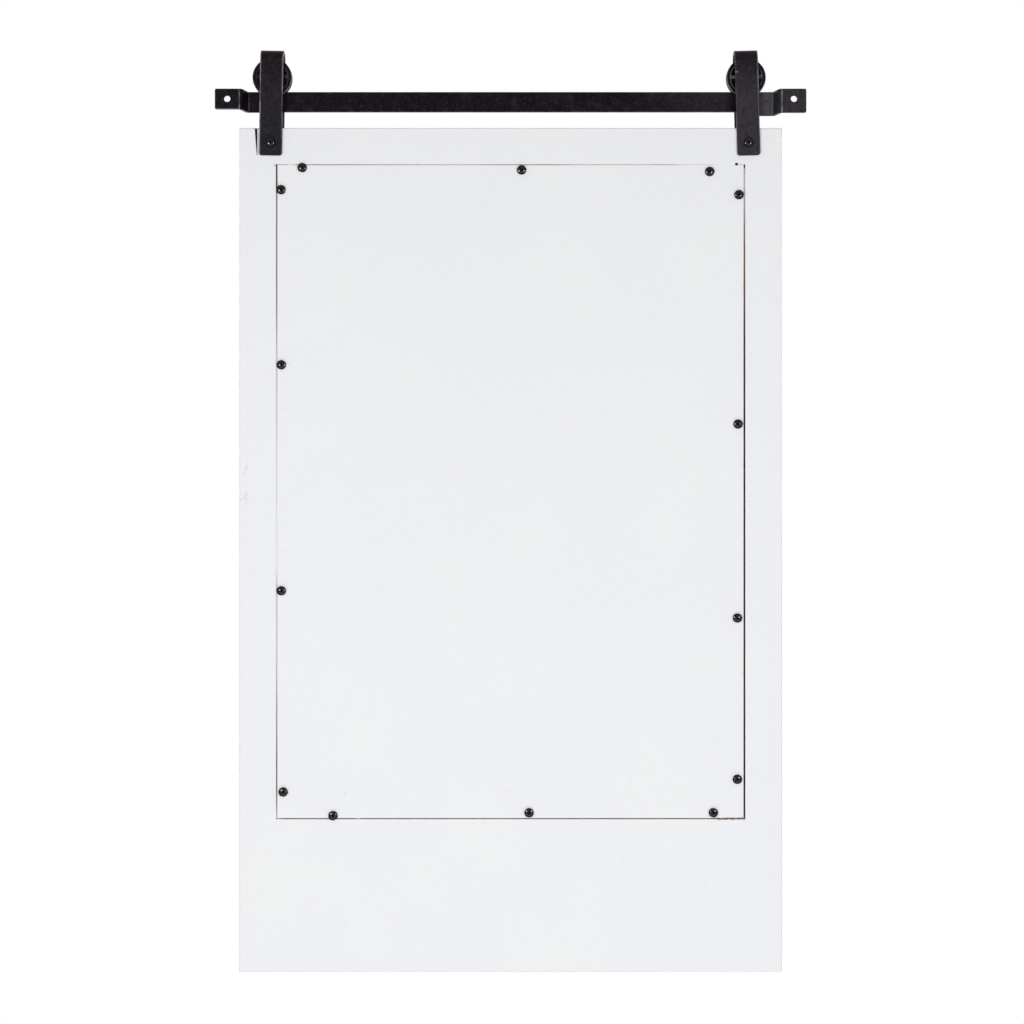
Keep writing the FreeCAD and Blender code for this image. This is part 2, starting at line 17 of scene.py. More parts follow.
import bmesh
import bpy
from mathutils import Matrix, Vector

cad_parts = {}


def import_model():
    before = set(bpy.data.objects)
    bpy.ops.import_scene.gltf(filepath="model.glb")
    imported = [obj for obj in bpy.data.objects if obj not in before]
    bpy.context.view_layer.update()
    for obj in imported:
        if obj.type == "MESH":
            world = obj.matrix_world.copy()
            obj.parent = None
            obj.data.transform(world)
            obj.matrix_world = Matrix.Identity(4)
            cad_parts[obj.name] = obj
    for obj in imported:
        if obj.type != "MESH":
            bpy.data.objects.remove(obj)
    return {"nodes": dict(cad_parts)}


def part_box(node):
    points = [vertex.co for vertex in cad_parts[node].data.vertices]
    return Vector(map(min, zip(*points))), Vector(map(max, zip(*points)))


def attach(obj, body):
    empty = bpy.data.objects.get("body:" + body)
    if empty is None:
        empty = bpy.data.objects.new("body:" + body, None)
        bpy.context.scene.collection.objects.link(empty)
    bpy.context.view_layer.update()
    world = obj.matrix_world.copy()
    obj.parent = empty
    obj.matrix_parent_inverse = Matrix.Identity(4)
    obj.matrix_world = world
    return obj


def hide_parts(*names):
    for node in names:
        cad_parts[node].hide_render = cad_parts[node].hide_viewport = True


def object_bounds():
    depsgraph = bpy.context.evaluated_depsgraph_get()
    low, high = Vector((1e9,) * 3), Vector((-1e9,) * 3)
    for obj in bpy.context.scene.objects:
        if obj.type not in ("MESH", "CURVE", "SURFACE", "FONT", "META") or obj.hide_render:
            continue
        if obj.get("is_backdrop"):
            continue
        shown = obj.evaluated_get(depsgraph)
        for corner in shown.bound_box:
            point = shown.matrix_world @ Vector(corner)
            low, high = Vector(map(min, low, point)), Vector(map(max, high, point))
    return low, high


LOG = logging.getLogger("mirror")
MM = 0.001

Socket = bpy.types.NodeSocket
Material = bpy.types.Material
Piece = bpy.types.Object
Colour = Tuple[float, float, float, float]
Place = Tuple[float, float, float]
Stretch = Tuple[float, float]
Scuff = Tuple[float, float, float, float]
Stations = Tuple[Tuple[float, float], ...]
Nodes = Dict[str, Piece]

WHITE: Colour = (1.0, 1.0, 1.0, 1.0)


def screen(*levels: int) -> Colour:
    """Turn a screen colour into the linear one that shaders take.

    Args:
        *levels: Red, green and blue from 0 to 255.

    Returns:
        Linear red, green and blue, and an alpha of 1.
    """
    def linear(level: int) -> float:
        """Undo the screen's curve for one level."""
        share = level / 255
        return share / 12.92 if share <= 0.04045 else ((share + 0.055) / 1.055) ** 2.4

    return (*map(linear, levels), 1.0)


class Grain(Enum):
    """Which way a board's grain and brush marks run."""

    UPRIGHT = (240.0, 240.0, 9.0)
    ACROSS = (9.0, 240.0, 240.0)


class Side(Enum):
    """Left or right for someone who faces the glass."""

    LEFT = "left"
    RIGHT = "right"


class Facing(Enum):
    """Which way a screw's head looks along Y."""

    WALL = 1
    ROOM = -1


# Shader arithmetic


class Field:
    """A number that changes over a surface, with arithmetic that adds Math nodes."""

    def __init__(self, graph: "Graph", socket: Socket) -> None:
        """Wrap one output socket of a graph."""
        self.graph = graph
        self.socket = socket

    def __add__(self, other: "Number") -> "Field":
        """Sum with a number or a field."""
        return self.graph.math("ADD", self, other)

    __radd__ = __add__

    def __sub__(self, other: "Number") -> "Field":
        """Difference from a number or a field."""
        return self.graph.math("SUBTRACT", self, other)

    def __rsub__(self, other: "Number") -> "Field":
        """Difference of a number from this field."""
        return self.graph.math("SUBTRACT", other, self)

    def __mul__(self, other: "Number") -> "Field":
        """Product with a number or a field."""
        return self.graph.math("MULTIPLY", self, other)

    __rmul__ = __mul__

    def __pow__(self, other: "Number") -> "Field":
        """Power of this field."""
        return self.graph.math("POWER", self, other)

    def __abs__(self) -> "Field":
        """Size without its sign."""
        return self.graph.math("ABSOLUTE", self, 0.0)

    def least(self, *others: "Number") -> "Field":
        """The least of this and other values."""
        return reduce(partial(self.graph.math, "MINIMUM"), others, self)

    def most(self, *others: "Number") -> "Field":
        """The greatest of this and other values."""
        return reduce(partial(self.graph.math, "MAXIMUM"), others, self)

    def rise(self, low: float, high: float) -> "Field":
        """Go smoothly from 0 at low to 1 at high.

        Args:
            low: Value where the result is 0. It may be the larger of the two.
            high: Value where the result is 1.

        Returns:
            The smoothed share.
        """
        if low > high:
            return 1.0 - self.rise(high, low)
        node = self.graph.node("ShaderNodeMapRange", {"interpolation_type": "SMOOTHSTEP"},
                               {"Value": self, "From Min": low, "From Max": high})
        return Field(self.graph, node.outputs["Result"])

    def within(self, low: float, high: float, soft: float) -> "Field":
        """A window: 1 between low and high, with soft ends.

        Args:
            low: Where the window opens.
            high: Where it closes.
            soft: Width of each end.

        Returns:
            The window's share.
        """
        return self.rise(low - soft, low) * self.rise(high + soft, high)


Number = Union[float, Field]
Input = Union[float, Sequence[float], Field, Socket]


class Graph:
    """A node tree that is written as expressions."""

    def __init__(self, tree: bpy.types.NodeTree) -> None:
        """Clear a tree and start on it."""
        self.tree = tree
        tree.nodes.clear()

    def node(self, kind: str, settings: Optional[Dict[str, object]] = None,
             inputs: Optional[Dict[Union[int, str], Input]] = None) -> bpy.types.Node:
        """Add a node.

        Args:
            kind: The node's type.
            settings: Properties of the node itself, which are set first.
            inputs: Values or links, by socket name or number.

        Returns:
            The new node.
        """
        made = self.tree.nodes.new(kind)
        for key, value in (settings or {}).items():
            setattr(made, key, value)
        for key, value in (inputs or {}).items():
            source = value.socket if isinstance(value, Field) else value
            if isinstance(source, Socket):
                self.tree.links.new(source, made.inputs[key])
            else:
                made.inputs[key].default_value = source
        return made

    def math(self, operation: str, first: Number, second: Number) -> Field:
        """Add one Math node and return its value."""
        node = self.node("ShaderNodeMath", {"operation": operation}, {0: first, 1: second})
        return Field(self, node.outputs["Value"])

    def mix(self, share: Number, first: Input, second: Input) -> Socket:
        """Blend two colours.

        Args:
            share: How much of the second colour.
            first: A colour or a colour socket.
            second: A colour or a colour socket.

        Returns:
            The blended colour's socket.
        """
        settings = {"data_type": "RGBA", "clamp_factor": True}
        return self.node("ShaderNodeMix", settings, {0: share, 6: first, 7: second}).outputs[2]

    def blend(self, share: Field, first: Socket, second: Socket) -> Socket:
        """Blend two shaders by a share of the second."""
        return self.node("ShaderNodeMixShader", inputs={0: share, 1: first, 2: second}).outputs[0]


class Surface(Graph):
    """The node tree of one material, on the piece's own Object coordinates."""

    def __init__(self, name: str) -> None:
        """Start a material."""
        self.material = bpy.data.materials.new(name)
        self.material.use_nodes = True
        super().__init__(self.material.node_tree)
        self.place = self.node("ShaderNodeTexCoord").outputs["Object"]
        parts = self.node("ShaderNodeSeparateXYZ", inputs={"Vector": self.place}).outputs
        self.x, self.y, self.z = (Field(self, part) for part in parts)

    def noise(self, scale: Union[float, Place], detail: float = 2.0, shift: float = 0.0,
              place: Optional[Socket] = None) -> Field:
        """Add a noise.

        Args:
            scale: Waves per metre, one number or one for each axis.
            detail: Octaves of finer noise.
            shift: Moves the noise, so that two of one scale differ.
            place: Where the noise is read, if not at the surface's own place.

        Returns:
            The noise, mostly between 0.25 and 0.75.
        """
        sizes = scale if isinstance(scale, tuple) else (scale,) * 3
        mapped = self.node("ShaderNodeMapping", inputs={
            "Vector": self.place if place is None else place, "Location": (shift,) * 3, "Scale": sizes})
        noise = self.node("ShaderNodeTexNoise", inputs={
            "Vector": mapped.outputs["Vector"], "Scale": 1.0, "Detail": detail})
        return Field(self, noise.outputs["Fac"])

    def scratches(self, turn: float, scale: Place) -> Field:
        """A noise drawn out into strokes in the XZ plane.

        Args:
            turn: Angle of the strokes about Y, in degrees.
            scale: Waves per metre across, through and along the strokes.

        Returns:
            The noise.
        """
        turned = self.node("ShaderNodeMapping", inputs={
            "Vector": self.place, "Rotation": (0.0, math.radians(turn), 0.0)})
        return self.noise(scale, 1.0, place=turned.outputs["Vector"])

    def bump(self, height: Field, depth: float, strength: float = 1.0) -> Socket:
        """Turn a height into a normal.

        Args:
            height: Height from 0 to 1.
            depth: What a height of 1 stands for, in metres.
            strength: Share of the effect.

        Returns:
            The normal's socket.
        """
        node = self.node("ShaderNodeBump", inputs={"Strength": strength, "Distance": depth, "Height": height})
        return node.outputs["Normal"]

    def shader(self, **sockets: Input) -> Socket:
        """Add a Principled shader.

        Args:
            **sockets: Its inputs, with _ for each space in their names.

        Returns:
            The shader's socket.
        """
        inputs = {key.replace("_", " "): value for key, value in sockets.items()}
        return self.node("ShaderNodeBsdfPrincipled", inputs=inputs).outputs["BSDF"]

    def close(self, shader: Socket) -> Material:
        """Join a shader to the output and return the finished material."""
        self.node("ShaderNodeOutputMaterial", inputs={"Surface": shader})
        return self.material

    def finish(self, **sockets: Input) -> Material:
        """Close the tree with one Principled shader, and return the finished material."""
        return self.close(self.shader(**sockets))


# Where things are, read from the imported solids


@dataclass(frozen=True)
class Layout:
    """Places that the finishes follow."""

    side: float
    top: float
    bottom: float
    front: float
    back: float
    panel_low: Vector
    panel_high: Vector
    pocket_low: Vector
    pocket_high: Vector
    lip: float

    @classmethod
    def read(cls, nodes: Nodes) -> "Layout":
        """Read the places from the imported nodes.

        Args:
            nodes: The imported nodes' objects.

        Returns:
            The places. The pocket's walls are those nearest to the panel on the boards round it.
        """
        low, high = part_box("right_stile")
        panel_low, panel_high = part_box("back_panel")
        near = 3 * MM

        def beyond(board: str, axis: int, edge: float, way: int) -> float:
            """Where a board's wall stands, from the panel's edge outwards."""
            steps = [(vert.co[axis] - edge) * way for vert in nodes[board].data.vertices]
            return edge + way * min(step for step in steps if 0 <= step < near)

        pocket_low = Vector((beyond("left_stile", 0, panel_low.x, -1), panel_low.y,
                             beyond("hook_board", 2, panel_low.z, -1)))
        pocket_high = Vector((beyond("right_stile", 0, panel_high.x, 1), panel_high.y,
                              beyond("top_rail", 2, panel_high.z, 1)))
        return cls(high.x, high.z, low.z, low.y, high.y, panel_low, panel_high, pocket_low, pocket_high,
                   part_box("mirror_glass")[0].y)


# Finishes


Mask = Callable[[Surface], Field]


@dataclass(frozen=True)
class WhitePaint:
    """Satin white paint on board: faintly mottled, rubbed at the edges, bare where it was cut, and darker the
    deeper the bare wood lies, a painted shade.

    Specks are (x, z) in millimetres, and scuffs are (lowest z, highest z, width of each soft end, strength).
    The dot is a small hole at the top seam's left end, painted as a dark spot of shade, and the kerf a saw
    cut beside the right strap.
    """

    cool: Colour = screen(238, 239, 243)
    warm: Colour = screen(239, 240, 241)
    rubbed: Colour = screen(222, 218, 211)
    thin: Colour = screen(240, 240, 239)
    scuffed: Colour = screen(196, 195, 199)
    bare: Colour = screen(84, 62, 52)
    chipped: Colour = screen(186, 164, 146)
    fibre: Colour = screen(120, 92, 74)
    deep_shade: Colour = screen(34, 26, 23)
    roughness: float = 0.5
    specks: Stations = ((215.8, -77.5), (143.5, -600.3), (3.3, -597.8), (-205.1, -571.2))
    scuffs: Tuple[Scuff, ...] = ((-322 * MM, -316 * MM, 4 * MM, 0.6), (-346 * MM, -338 * MM, 5 * MM, 0.35))
    scuff_reach: float = 7.0 * MM
    arris: float = 2.4 * MM
    pocket_reach: float = 10.0 * MM
    kerf: Stretch = (218.4 * MM, 222.6 * MM)
    kerf_foot: float = -49.0 * MM
    dot_x: float = -195.6 * MM
    chip_x: float = 185.6 * MM
    left_frays: Stretch = (-80.0 * MM, -200.0 * MM)
    right_sound: Stretch = (-400.0 * MM, -300.0 * MM)
    right_chipped: Stretch = (-80.0 * MM, -74.0 * MM)
    top_frays: Stretch = (-140.0 * MM, 184.0 * MM)
    corner_length: float = 20.0 * MM

    def material(self, name: str, layout: Layout, grain: Grain) -> Material:
        """Make the paint of one board.

        Args:
            name: The material's name.
            layout: Places on the frame.
            grain: Which way the board was brushed.

        Returns:
            The material.
        """
        s = Surface(name)
        mottle = s.noise(11.0, 3.0).rise(0.42, 0.66)
        cloud = s.noise(170.0, 2.0, 3.0)
        colour = s.mix(mottle, self.cool, self.warm)
        colour = s.mix(cloud.rise(0.5, 0.8) * 0.12, colour, self.rubbed)
        colour = s.mix(self.edge_wear(s, layout), colour, self.thin)
        colour = s.mix(self.strokes(s, layout), colour, self.scuffed)
        for x, z in self.specks:
            speck = self.spot(s, x * MM, z * MM, 0.6 * MM) * self.on_back(s, layout)
            colour = s.mix(speck * 0.6, colour, self.scuffed)
        raw = self.bare_wood(s, layout)
        fibre = s.noise(900.0, 2.0, 7.0)
        wood = s.mix(fibre.rise(0.3, 0.7), self.bare, self.fibre)
        wood = s.mix(self.corner(s, layout) * fibre.rise(0.62, 0.42), wood, self.chipped)
        # Painted shade: the bare wood darkens the deeper it lies below the back, and the dot is painted fully
        # dark.
        sunk = (layout.back - s.y).rise(0.5 * MM, 2.0 * MM)
        wood = s.mix(sunk.most(self.dot(s, layout)), wood, self.deep_shade)
        colour = s.mix(raw, colour, wood)
        room_side = s.y.rise(layout.back - 3 * MM, layout.front + MM)
        brushed = s.noise(grain.value, 3.0) * (0.35 + 0.65 * room_side)
        return s.finish(
            Base_Color=colour,
            Roughness=self.roughness + 0.1 * (cloud - 0.5) + 0.3 * raw,
            Normal=s.bump(brushed + 0.3 * fibre * raw, 0.12 * MM, 0.6),
        )

    @staticmethod
    def on_back(s: Surface, layout: Layout) -> Field:
        """The back's face and its arrises."""
        return s.y.rise(layout.back - 2 * MM, layout.back - MM)

    def edge_wear(self, s: Surface, layout: Layout) -> Field:
        """Thin, broken wear along the frame's outer arrises."""
        inside = (layout.side - abs(s.x)).least(layout.top - s.z, s.z - layout.bottom)
        depth = (layout.back - s.y).least(s.y - layout.front)
        broken = s.noise(130.0, 3.0, 5.0).rise(0.36, 0.62)
        return inside.rise(self.arris, 0.2 * MM) * depth.rise(self.arris, 0.2 * MM) * (0.25 + 0.75 * broken)

    def strokes(self, s: Surface, layout: Layout) -> Field:
        """Small groups of strokes at the right stile's outer edge, on the back."""
        drawn = s.scratches(32.0, (420.0, 120.0, 120.0)).rise(0.52, 0.68)
        at_edge = s.x.within(layout.side - self.scuff_reach, layout.side, 1.5 * MM)
        groups = sum(s.z.within(low, high, soft) * strength for low, high, soft, strength in self.scuffs)
        return drawn * at_edge * s.y.rise(layout.back - MM, layout.back) * groups

    def bare_wood(self, s: Surface, layout: Layout) -> Field:
        """Where the board is bare: in the panel's pocket, in the kerf and along frayed seams."""
        low, high, reach = layout.pocket_low, layout.pocket_high, self.pocket_reach
        sunk = s.y.within(layout.lip - 0.1 * MM, layout.back - 0.16 * MM, 0.08 * MM)
        pocket = s.x.within(low.x - reach, high.x + reach, MM) * s.z.within(low.z - reach, high.z + reach, MM)
        kerf = s.x.within(*self.kerf, 0.2 * MM) * s.z.rise(self.kerf_foot - MM, self.kerf_foot)
        worn = self.frayed(s, layout).most(
            self.dot(s, layout),
            self.spot(s, high.x + MM, high.z - 0.5 * MM, 0.9 * MM) * 0.5,
            self.spot(s, self.chip_x, high.z, 0.8 * MM) * 0.4)
        return (sunk * pocket.most(kerf)).most(worn * self.on_back(s, layout))

    @staticmethod
    def spot(s: Surface, x: float, z: float, radius: float) -> Field:
        """A ragged spot in the XZ plane."""
        out = ((s.x - x) ** 2.0 + (s.z - z) ** 2.0) ** 0.5
        ragged = out + 0.6 * MM * (s.noise(900.0, 2.0, 8.0) - 0.5)
        return ragged.rise(radius + 0.15 * MM, radius - 0.15 * MM)

    def dot(self, s: Surface, layout: Layout) -> Field:
        """The hole at the top seam's left end, painted as a dark spot of shade."""
        return self.spot(s, self.dot_x, layout.pocket_high.z + 0.4 * MM, 1.25 * MM)

    def frayed(self, s: Surface, layout: Layout) -> Field:
        """Chipped paint on both arrises of each seam round the panel."""
        low, high = layout.pocket_low, layout.pocket_high
        inner_low, inner_high = layout.panel_low, layout.panel_high
        crumbs = s.noise(620.0, 3.0, 2.0)

        def band(place: Field, first: float, last: float, reach: float) -> Field:
            """A ragged line over a seam between two walls."""
            half = (last - first) / 2 + reach
            off = abs(place - (first + last) / 2) + 0.3 * MM * (crumbs - 0.5)
            return off.rise(half + 0.06 * MM, half - 0.06 * MM)

        upright = s.z.within(low.z, high.z, 0.3 * MM)
        level = s.x.within(low.x, high.x, 0.3 * MM)
        beyond_dot = s.x.rise(self.dot_x - 0.4 * MM, self.dot_x - 1.4 * MM)
        along = s.x.within(*self.top_frays, 12 * MM).most(beyond_dot * 0.3) * level
        sound = s.z.within(*self.right_sound, 20 * MM)
        bands = (
            band(s.x, low.x, inner_low.x, 0.25 * MM) * upright * (0.4 + 0.6 * s.z.rise(*self.left_frays)),
            band(s.x, inner_high.x, high.x, 0.12 * MM) * upright * (0.7 - 0.4 * sound),
            band(s.x, inner_high.x, high.x, 0.25 * MM) * upright * s.z.rise(*self.right_chipped),
            band(s.z, inner_high.z, high.z, 0.16 * MM) * along * 0.7,
            band(s.z, low.z, inner_low.z, 0.21 * MM) * level,
        )
        return self.corner(s, layout).most(*bands)

    def corner(self, s: Surface, layout: Layout) -> Field:
        """Paint broken away along the bottom seam, next to the panel's lower left corner."""
        low, inner = layout.pocket_low, layout.panel_low
        ragged = abs(s.z - inner.z + 0.2 * MM) + 2.6 * MM * (s.noise(420.0, 3.0, 2.0) - 0.25)
        end = inner.x + self.corner_length
        along = s.x.rise(low.x - 0.3 * MM, low.x + 0.3 * MM) * s.x.rise(end + 8 * MM, end)
        return ragged.rise(1.7 * MM, 1.4 * MM) * along


@dataclass(frozen=True)
class BlackIron:
    """Satin black coat on iron, speckled, and pale on arrises and bends: partly rubbed where a hand or an
    edge meets it, partly a painted highlight.
    """

    coat: Colour = screen(15, 8, 17)
    dusty: Colour = screen(74, 70, 77)
    fleck: Colour = screen(96, 92, 98)
    # Pale of rubbed arrises and bends, partly wear and partly a painted highlight.
    rubbed: Colour = screen(148, 150, 158)
    rust: Colour = screen(92, 58, 34)
    specular: float = 0.045
    roughness: float = 0.3

    def material(self, name: str, rub_and_highlight: Mask, pale: Optional[Mask] = None,
                 rusty: Optional[Mask] = None) -> Material:
        """Make the coat of one piece.

        Args:
            name: The material's name.
            rub_and_highlight: Where the coat is pale, from 0 to 1: partly rubbed wear, partly a painted
                highlight.
            pale: Where the coat is thin and dusty, from 0 to 1.
            rusty: Where the coat has rusted, from 0 to 1.

        Returns:
            The material.
        """
        s = Surface(name)
        specks = s.noise(420.0, 4.0).rise(0.48, 0.74)
        pits = s.noise(330.0, 3.0, 6.0).rise(0.5, 0.72)
        patches = s.noise(120.0, 3.0, 4.0)
        broken = s.noise(160.0, 3.0, 9.0).rise(0.36, 0.56)
        colour = s.mix(patches.rise(0.4, 0.75) * 0.1, self.coat, self.dusty)
        if pale is not None:
            colour = s.mix(pale(s), colour, self.dusty)
        colour = s.mix(specks * 0.1, colour, self.fleck)
        colour = s.mix(pits * 0.55, colour, self.coat)
        colour = s.mix(patches.rise(0.63, 0.78) * 0.12, colour, self.rust)
        if rusty is not None:
            colour = s.mix(rusty(s), colour, self.rust)
        # Pale lines, partly rubbed wear and partly a painted highlight.
        colour = s.mix(rub_and_highlight(s) * (0.3 + 0.7 * broken), colour, self.rubbed)
        return s.finish(
            Base_Color=colour,
            Roughness=self.roughness + 0.16 * (patches - 0.5) + 0.1 * specks,
            Specular_IOR_Level=self.specular,
            Normal=s.bump(s.noise(700.0, 4.0, 1.0), 0.12 * MM, 0.4),
        )


@dataclass(frozen=True)
class BlackScrew:
    """Glossy black plating on the head's dome, and a dull, darker coat in the cross and round the rim, a
    painted shade.
    """

    coat: Colour = screen(5, 4, 5)
    bright: Colour = screen(92, 90, 92)
    rim_and_cross_shade: Colour = screen(8, 6, 6)
    specular: float = 0.29
    roughness: float = 0.08
    dome: float = 0.43 * MM

    def material(self, name: str, crown: float, facing: Facing) -> Material:
        """Make the material of one set of screws.

        Args:
            name: The material's name.
            crown: Where the heads' highest points are along Y.
            facing: Which way the heads look.

        Returns:
            The material.
        """
        s = Surface(name)
        flecks = s.noise(2600.0, 2.0).rise(0.62, 0.74)
        gloss = s.shader(
            Base_Color=s.mix(flecks * 0.25, self.coat, self.bright),
            Roughness=self.roughness + 0.1 * flecks + 0.06 * s.noise(800.0, 2.0, 3.0),
            Specular_IOR_Level=self.specular,
            Normal=s.bump(s.noise(1500.0, 2.0, 5.0), 0.02 * MM, 0.2),
        )
        # Painted shade: a dull coat that reflects little, below the dome in the cross and round the rim.
        dull = s.shader(
            Base_Color=s.mix(flecks * 0.4, self.rim_and_cross_shade, self.bright),
            Roughness=0.6 + 0.2 * flecks,
            Specular_IOR_Level=0.04,
        )
        below = (crown - s.y) * float(facing.value)
        return s.close(s.blend(below.rise(self.dome, self.dome + 0.06 * MM), gloss, dull))


@dataclass(frozen=True)
class ZincSteel:
    """Zinc-plated steel with faint turning marks."""

    bright: Colour = screen(176, 177, 180)
    dull: Colour = screen(138, 138, 140)

    def material(self, name: str) -> Material:
        """Make the plating."""
        s = Surface(name)
        cloud = s.noise(300.0, 3.0)
        rings = s.noise((60.0, 5200.0, 60.0), 1.0, 2.0)
        return s.finish(
            Base_Color=s.mix(cloud.rise(0.35, 0.7), self.bright, self.dull),
            Metallic=1.0,
            Roughness=0.3 + 0.2 * cloud,
            Normal=s.bump(rings, 0.02 * MM, 0.4),
        )


@dataclass(frozen=True)
class SilveredGlass:
    """Float glass silvered on its back, greener at its cut edge, with faint wiping marks."""

    face: Colour = screen(240, 244, 242)
    edge: Colour = screen(120, 158, 146)

    def material(self, name: str, low: Vector, high: Vector) -> Material:
        """Make the mirror.

        Args:
            name: The material's name.
            low: Lowest corner of the glass.
            high: Highest corner of the glass.

        Returns:
            The material.
        """
        s = Surface(name)
        inside = (s.x - low.x).least(high.x - s.x, s.z - low.z, high.z - s.z)
        cut = inside.rise(0.5 * MM, 0.1 * MM)
        wiped = s.scratches(24.0, (40.0, 20.0, 7.0)).rise(0.5, 0.8)
        return s.finish(
            Base_Color=s.mix(cut, self.face, self.edge),
            Metallic=1.0,
            Roughness=0.012 + 0.02 * wiped + 0.3 * cut,
        )


@dataclass(frozen=True)
class Fibres:
    """Card or bare wood, in two tones that follow its fibres."""

    light: Colour
    dark: Colour
    scale: Place
    detail: float
    tones: Stretch
    least_rough: float
    rougher: float
    depth: float
    strength: float

    def material(self, name: str) -> Material:
        """Make the card or the wood."""
        s = Surface(name)
        fibres = s.noise(self.scale, self.detail)
        return s.finish(
            Base_Color=s.mix(fibres.rise(*self.tones), self.light, self.dark),
            Roughness=self.least_rough + self.rougher * fibres,
            Normal=s.bump(fibres, self.depth, self.strength),
        )


GREY_CARD = Fibres(screen(166, 160, 150), screen(134, 128, 119), (500.0, 500.0, 1700.0), 4.0, (0.35, 0.65),
                   0.86, 0.1, 0.06 * MM, 0.4)
BARE_BEECH = Fibres(screen(206, 168, 124), screen(164, 122, 82), (60.0, 1500.0, 1500.0), 3.0, (0.35, 0.68),
                    0.62, 0.2, 0.08 * MM, 0.5)


# Modelling by operators


class Workpiece:
    """A mesh that is shaped with operators, as by hand."""

    touching = 0.001 * MM

    def __init__(self, name: str) -> None:
        """Take the object that the last operator left active."""
        self.obj = bpy.context.active_object
        self.obj.name = name
        self.obj.data.name = name

    @staticmethod
    def clear_bench() -> None:
        """Leave edit mode and deselect everything."""
        if bpy.context.mode != "OBJECT":
            bpy.ops.object.mode_set(mode="OBJECT")
        bpy.ops.object.select_all(action="DESELECT")

    @classmethod
    def block(cls, name: str, low: Sequence[float], high: Sequence[float]) -> "Workpiece":
        """Add a cube between two corners.

        Args:
            name: The piece's name.
            low: Lowest corner.
            high: Highest corner.

        Returns:
            The block, with its place and size in its mesh.
        """
        cls.clear_bench()
        middle = [(a + b) / 2 for a, b in zip(low, high)]
        size = [b - a for a, b in zip(low, high)]
        bpy.ops.mesh.primitive_cube_add(size=1.0, location=middle, scale=size)
        piece = cls(name)
        piece.settle()
        return piece

    @classmethod
    def turned(cls, name: str, profile: Sequence[Tuple[float, float]], sides: int,
               closed: bool = False) -> "Workpiece":
        """Spin a profile about Y.

        Args:
            name: The piece's name.
            profile: (radius, y) points along the profile.
            sides: Steps of the turn.
            closed: Whether the profile's last point joins its first.

        Returns:
            The turned piece, about the origin.
        """
        cls.clear_bench()
        bpy.ops.mesh.primitive_plane_add(size=MM, location=(0.0, 0.0, 0.0))
        piece = cls(name)
        bpy.ops.object.mode_set(mode="EDIT")
        bpy.ops.mesh.select_all(action="SELECT")
        bpy.ops.mesh.merge(type="CENTER")
        bpy.ops.mesh.select_mode(type="VERT")
        bpy.ops.mesh.select_all(action="SELECT")
        bpy.ops.transform.translate(value=(profile[0][0], profile[0][1], 0.0))
        for (radius, y), (next_radius, next_y) in zip(profile, profile[1:]):
            step = (next_radius - radius, next_y - y, 0.0)
            bpy.ops.mesh.extrude_region_move(TRANSFORM_OT_translate={"value": step})
        if closed:
            piece.pick_points(lambda vert: min((vert.co - Vector((r, y, 0.0))).length
                                               for r, y in (profile[0], profile[-1])) < cls.touching)
            bpy.ops.mesh.edge_face_add()
        bpy.ops.mesh.select_all(action="SELECT")
        bpy.ops.mesh.spin(steps=sides, angle=math.tau, center=(0.0, 0.0, 0.0), axis=(0.0, 1.0, 0.0))
        bpy.ops.mesh.select_all(action="SELECT")
        bpy.ops.mesh.remove_doubles(threshold=cls.touching)
        bpy.ops.mesh.normals_make_consistent(inside=False)
        bpy.ops.object.mode_set(mode="OBJECT")
        return piece

    def grasp(self) -> None:
        """Leave edit mode and select this piece alone."""
        self.clear_bench()
        self.obj.select_set(True)
        bpy.context.view_layer.objects.active = self.obj

    def edit(self) -> None:
        """Go into edit mode on this piece alone."""
        self.grasp()
        bpy.ops.object.mode_set(mode="EDIT")

    def pick_points(self, test: Callable[[bmesh.types.BMVert], bool]) -> None:
        """Select the vertices that pass a test."""
        self.pick("VERT", "verts", test)

    def pick_faces(self, test: Callable[[bmesh.types.BMFace], bool]) -> None:
        """Select the faces that pass a test."""
        self.pick("FACE", "faces", test)

    def pick(self, mode: str, kind: str, test: Callable[..., bool]) -> None:
        """Select what passes a test, in edit mode.

        Args:
            mode: The select mode.
            kind: Name of the mesh's elements.
            test: Says whether to select an element.
        """
        bpy.ops.mesh.select_mode(type=mode)
        mesh = bmesh.from_edit_mesh(self.obj.data)
        for element in getattr(mesh, kind):
            element.select_set(test(element))
        mesh.select_flush_mode()
        bmesh.update_edit_mesh(self.obj.data)

    def soften(self, width: float, angle: float = 35.0, segments: int = 2) -> None:
        """Bevel the edges that turn by more than an angle.

        Args:
            width: Width of the bevel.
            angle: Least angle between an edge's faces, in degrees.
            segments: Faces across the bevel.
        """
        bpy.ops.mesh.select_mode(type="EDGE")
        bpy.ops.mesh.select_all(action="DESELECT")
        bpy.ops.mesh.edges_select_sharp(sharpness=math.radians(angle))
        bpy.ops.mesh.bevel(offset=width, segments=segments, affect="EDGES", clamp_overlap=True)

    @staticmethod
    def clean() -> None:
        """Take faces with no area out of the mesh in edit mode, and leave that mode."""
        bpy.ops.mesh.select_all(action="SELECT")
        bpy.ops.mesh.dissolve_degenerate(threshold=Workpiece.touching)
        bpy.ops.object.mode_set(mode="OBJECT")

    def cut_with(self, tool: "Workpiece") -> None:
        """Subtract another piece from this one, and throw it away."""
        self.grasp()
        cut = self.obj.modifiers.new("cut", "BOOLEAN")
        cut.operation = "DIFFERENCE"
        cut.solver = "EXACT"
        cut.object = tool.obj
        bpy.ops.object.modifier_apply(modifier=cut.name)
        bpy.data.objects.remove(tool.obj)
        self.edit()
        self.clean()

    def copy(self, name: str) -> "Workpiece":
        """Duplicate this piece with a mesh of its own."""
        self.grasp()
        bpy.ops.object.duplicate(linked=False)
        return Workpiece(name)

